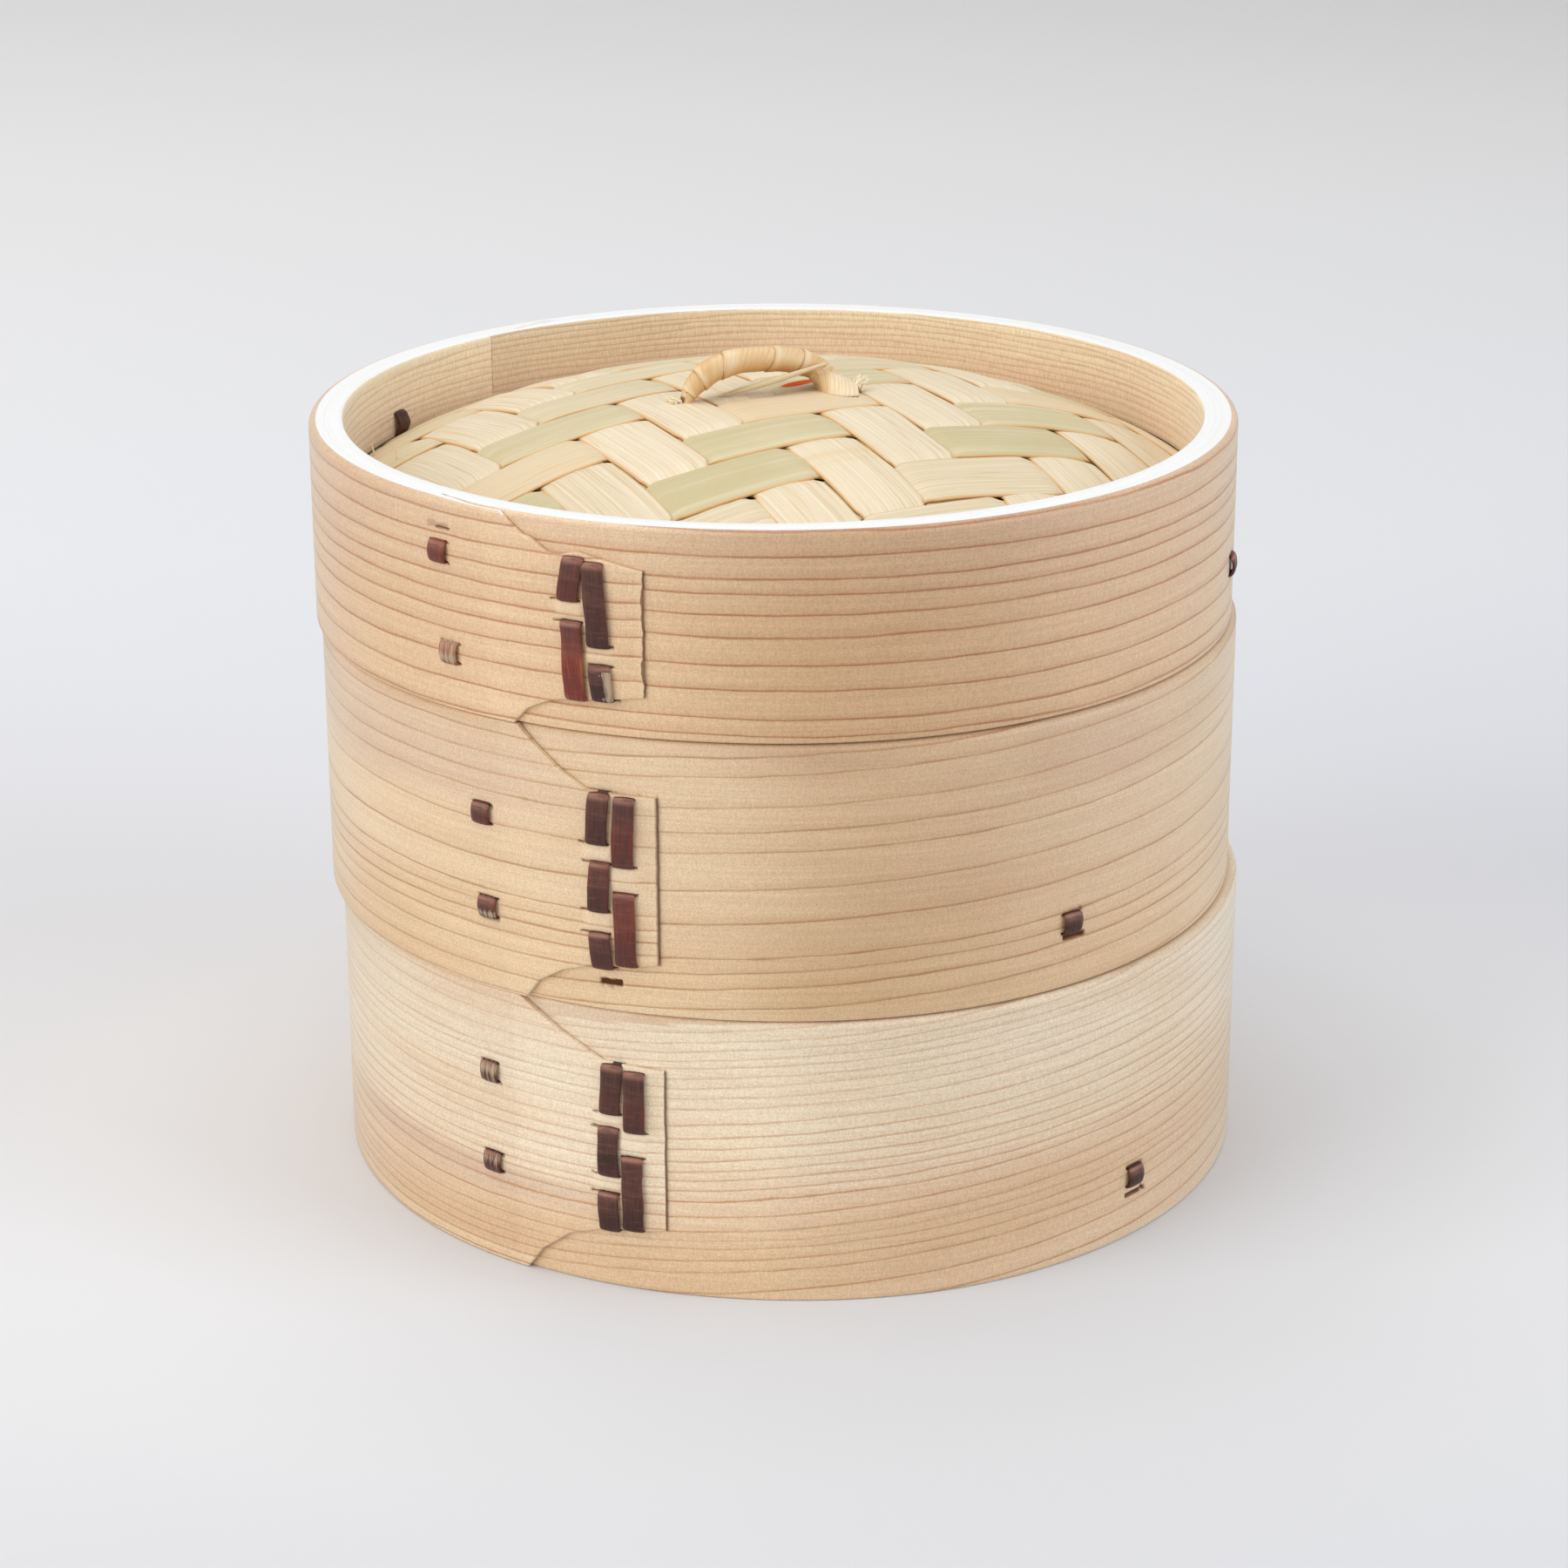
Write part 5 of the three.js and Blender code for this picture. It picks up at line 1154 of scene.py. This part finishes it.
def makeHandle():
    path2 = smoothPath(handle["arch"], 0.12, 2.4)
    path = inPlane(path2)
    length = np.arange(len(path)) * 0.12
    places, numbers = np.array(handle["seams"]).T
    # along the left leg the arch doubles back, so seams are found by arc length
    knots = [np.argmin(np.abs(path2[:, 0] - p) + (path2[:, 1] < 41) * 9) for p in places]
    index = np.interp(np.arange(len(path)), knots, numbers)
    theta = np.linspace(0, 2 * np.pi, 56, endpoint=False)[None, :]
    turned = index[:, None] - 0.1 * np.cos(theta) + eased(theta, np.pi, 2 * np.pi)
    f = np.mod(turned, 1)
    r = handle["peel"] + 0.24 * (1 - eased(f, 0, 0.55)) - 0.26 * (1 - eased(f, 0, 0.03)) - 0.12 * eased(f, 0.965, 1)
    r = r + 0.05 * waver(length[:, None] + 3 * theta, 6, 61)
    narrowing = handle["foot"] + (1 - handle["foot"]) * eased(path2[:, 1], 40.5, 47)
    r = r * np.where(path2[:, 0] < -8, narrowing, 1)[:, None]
    tangent, up, out = frames(path)
    grid = path[:, None] + r[..., None] * (up[:, None] * np.cos(theta)[..., None] + out[:, None] * np.sin(theta)[..., None])
    seam = np.clip(1 - eased(np.minimum(f, 1 - f), 0.006, 0.02), 0, 1)
    strong = np.interp(index, [0.6, 1.4, 2.4, 3.4, 3.6, 4.4, 4.6, 6], [0.8, 0.6, 0.45, 0.6, 1, 1, 0.2, 0.2])[:, None]
    # a dark line at each seam, partly the joint and partly painted shadow under the lifted edge of the turn; low is
    # painted shade, browner and darker on the underside
    fields = {"gap": seam * strong * (0.75 + 0.35 * waver(theta * 2 + length[:, None], 4, 62)), "pale": 0.5 * eased(f, 0.0, 0.12) * (1 - eased(f, 0.12, 0.3)) + 0 * f,
              "low": eased(-np.cos(theta), -0.3, 0.9) + 0 * f}
    # a split at the left foot, painted dark as the shade inside it
    split = window(path2[:, 1], 41.2, 42.1, 0.3)[:, None] * (path2[:, 0] < -15)[:, None] * eased(np.cos(theta - 0.2), 0.72, 0.88)
    fields["gap"] = np.maximum(fields["gap"], 0.9 * split)
    uv = np.stack([theta * 2.1 + 0 * f, length[:, None] + 1.2 * theta], -1).reshape(-1, 2)
    addPiece("lid_handle_peel", "lid", ["lid_handle_wrap"], tube(grid), [rattan], uv, fields, None, 50)
    # the core shows at the feet and turns in under the weave
    corePath = inPlane(smoothPath([(-9.5, 36.4), (-15.5, 36.4), (-18.0, 37.6), (-18.6, 41.1), (-17.1, 44)], 0.3, 2))
    corePath2 = inPlane(smoothPath([(10.4, 44.2), (11.2, 42.6), (11.3, 40.8), (11.1, 38), (9.5, 36.6), (4, 36.4)], 0.3, 2))
    leg = handle["core"] * np.linspace(1, 0.5, len(corePath))
    core = joined([rod(corePath, leg, 20), rod(corePath2, handle["core"], 20)])
    uv = core[0][:, [0, 2]] * 1.0
    zero = np.zeros(len(core[0]))
    addPiece("lid_handle_cane", "lid", ["lid_handle_core"], core, [rattan], uv, {"gap": zero, "pale": zero + 0.2, "low": zero}, None, 50)
    makeStub()
    dice = np.random.default_rng(77)
    parts = []
    for k in range(64):
        # frayed ends beside both feet
        left = k < 24
        spread = dice.uniform(-1, 1, 3)
        swing = dice.uniform(-1, 1, 2)
        base = np.array([-20.2, 41.75]) if left else np.array([15.4, 42.1])
        start = base + spread[:2] * ([0.9, 0.25] if left else [1.0, 0.5])
        reach = [-1.7 * dice.uniform(0.2, 1), 0.4] if left else [2.0 * dice.uniform(0.1, 1), 0.4 + 2.1 * dice.uniform(0, 1)]
        tip = start + np.array(reach) + swing * 0.35
        middle = (start + tip) / 2 + np.array([0, 0.4])
        line = smoothPath([start, middle, tip], 0.25, 0.9)
        front = spread[2] * (1.6 if left else 1.0) + swing[0] * np.linspace(0, 1, len(line)) * 0.7 + (-1.0 if left else 5.2)
        parts.append(rod(inPlane(line, front), 0.34 * (1 - 0.7 * np.linspace(0, 1, len(line))), 5))
    # thin slivers of peel from the weave at the left foot up to the right shoulder
    places = np.array([(-12.4, 41.4, -0.7), (-2.1, 44.6, 3.6), (10.0, 47.0, 3.4), (9.6, 46.2, 2.4)])
    path = smoothPath(inPlane(places[:, :2], places[:, 2]), 0.5, 1.5)
    share = np.linspace(0, 1, len(path))
    blade = rod(path, 0.15 + 0.6 * eased(share, 0, 0.35) - 0.35 * eased(share, 0.5, 1), 10, 0.8)
    uv = np.stack([np.linspace(0, 26, len(blade[0])), blade[0][:, 2] * 1.5], -1)
    plain = np.zeros(len(blade[0]))
    addPiece("lid_handle_sliver", "lid", [], blade, [bamboo], uv,
             {"tone": plain + 0.55, "shade": plain + 0.4, "side": plain + 0.15, "knot": plain, "stain": plain}, None, 50)
    places = np.array([(-12.0, 41.5, -1.2), (-5.0, 44.4, 2.4), (6.5, 46.3, 2.8)])
    path = smoothPath(inPlane(places[:, :2], places[:, 2]), 0.5, 1.5)
    parts.append(rod(path, 0.28 * (1 - 0.6 * np.linspace(0, 1, len(path))), 6, 0.7))
    for foot, top in (((-81.2, 11.3, 134.3), (-81.6, 10.9, 138.3)), ((-75.4, -4.1, 137.5), (-75.2, -4.4, 141.2))):
        # loose fibres at the weave's left edge
        foot, top = np.array(foot), np.array(top)
        path = smoothPath([foot, (foot + top) / 2 + [0.3, 0, 0], top], 0.3, 1)
        parts.append(rod(path, 0.3 * (1 - 0.6 * np.linspace(0, 1, len(path))), 5))
    frayed = joined(parts)
    zero = np.zeros(len(frayed[0]))
    addPiece("lid_handle_fray", "lid", [], frayed, [rattan], frayed[0][:, [0, 2]] * 1.3,
             {"gap": zero, "pale": zero + 1.15, "low": zero}, None, 50)


makeHandle()
print("handle made")


# Floor, backdrop and light

stageLooks = {
    # painted light and shade on the paper from near to far: a little darker in front and just behind the steamer,
    # brighter towards the back
    "tones": [(0.0, color(210, 209, 210)), (0.015, color(215, 214, 214)), (0.035, color(219, 218, 218)),
              (0.09, color(220, 219, 219)), (0.17, color(214, 213, 215)), (0.4, color(221, 220, 221)),
              (1.0, color(229, 227, 225))],
    "size": 6000, "depth": 1500, "rise": 2600, "bend": 1400,
}


def makeStage(looks):
    # a floor that bends up into a backdrop: a profile of depth and height drawn out sideways
    turn = np.radians(np.linspace(0, 90, 40))
    depth = np.concatenate([[-looks["size"]], looks["depth"] + looks["bend"] * np.sin(turn), [looks["depth"] + looks["bend"]]])
    height = np.concatenate([[0], looks["bend"] * (1 - np.cos(turn)), [looks["rise"] + looks["bend"]]])
    side = np.linspace(-looks["size"], looks["size"], 9)
    points = np.stack(np.broadcast_arrays(side[:, None], depth, height - 0.02), -1).reshape(-1, 3)
    mesh = bpy.data.meshes.new("floor")
    mesh.from_pydata((points * mm).tolist(), [], gridQuads(9, len(depth)).tolist(), shade_flat=False)
    material, tree, shader = newMaterial("paper", 0.9, 0.05)
    place = put(tree, "TexCoord", output=3)
    away = put(tree, "SeparateXYZ", {0: place}, output=1)
    tone = ramp(tree, fade(tree, away, -0.25, 1.25, 0.0, 1.0), looks["tones"])
    across = put(tree, "SeparateXYZ", {0: place}, output=0)
    # painted light: the paper is brighter on the left, towards the left lamp, and darker to the right
    level = put(tree, "MapRange", {"Value": across, "From Min": -0.6, "From Max": 0.5, "To Min": 1.09, "To Max": 0.95})
    tone = blendColor(tree, 1.0, tone, put(tree, "CombineColor", {0: level, 1: level, 2: level}), "MULTIPLY")
    tree.links.new(tone, shader.inputs["Base Color"])
    mesh.materials.append(material)
    floor = bpy.data.objects.new("floor", mesh)
    bpy.context.scene.collection.objects.link(floor)
    floor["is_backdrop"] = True


def addLamp(name, place, target, size, power, tint=(1, 1, 1)):
    lamp = bpy.data.lights.new(name, "AREA")
    lamp.shape = "DISK"
    lamp.size = size
    lamp.energy = power
    lamp.color = tint
    holder = bpy.data.objects.new(name, lamp)
    holder.location = place
    holder.rotation_euler = (Vector(target) - Vector(place)).to_track_quat("-Z", "Y").to_euler()
    bpy.context.scene.collection.objects.link(holder)


def makeLight():
    world = bpy.data.worlds.new("soft_room")
    world.use_nodes = True
    world.node_tree.nodes["Background"].inputs[0].default_value = (0.97, 0.98, 1.0, 1)
    world.node_tree.nodes["Background"].inputs[1].default_value = 0.45
    bpy.context.scene.world = world
    addLamp("left", (-1.9, -1.2, 1.0), (0, 0, 0.08), 2.0, 28.5, (0.98, 1.01, 1.03))
    addLamp("right", (1.9, -0.7, 0.9), (0, 0, 0.08), 1.7, 21.5, (0.86, 0.98, 1.15))
    addLamp("overhead", (-0.3, 0.2, 2.2), (0, 0, 0.08), 2.2, 25)
    bpy.context.scene.view_settings.view_transform = "Standard"


makeStage(stageLooks)
makeLight()
print("stage and light set")

size = {"cad": [list(map(float, corner)) for corner in cadBox], "visual": [list(map(float, corner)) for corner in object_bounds()]}
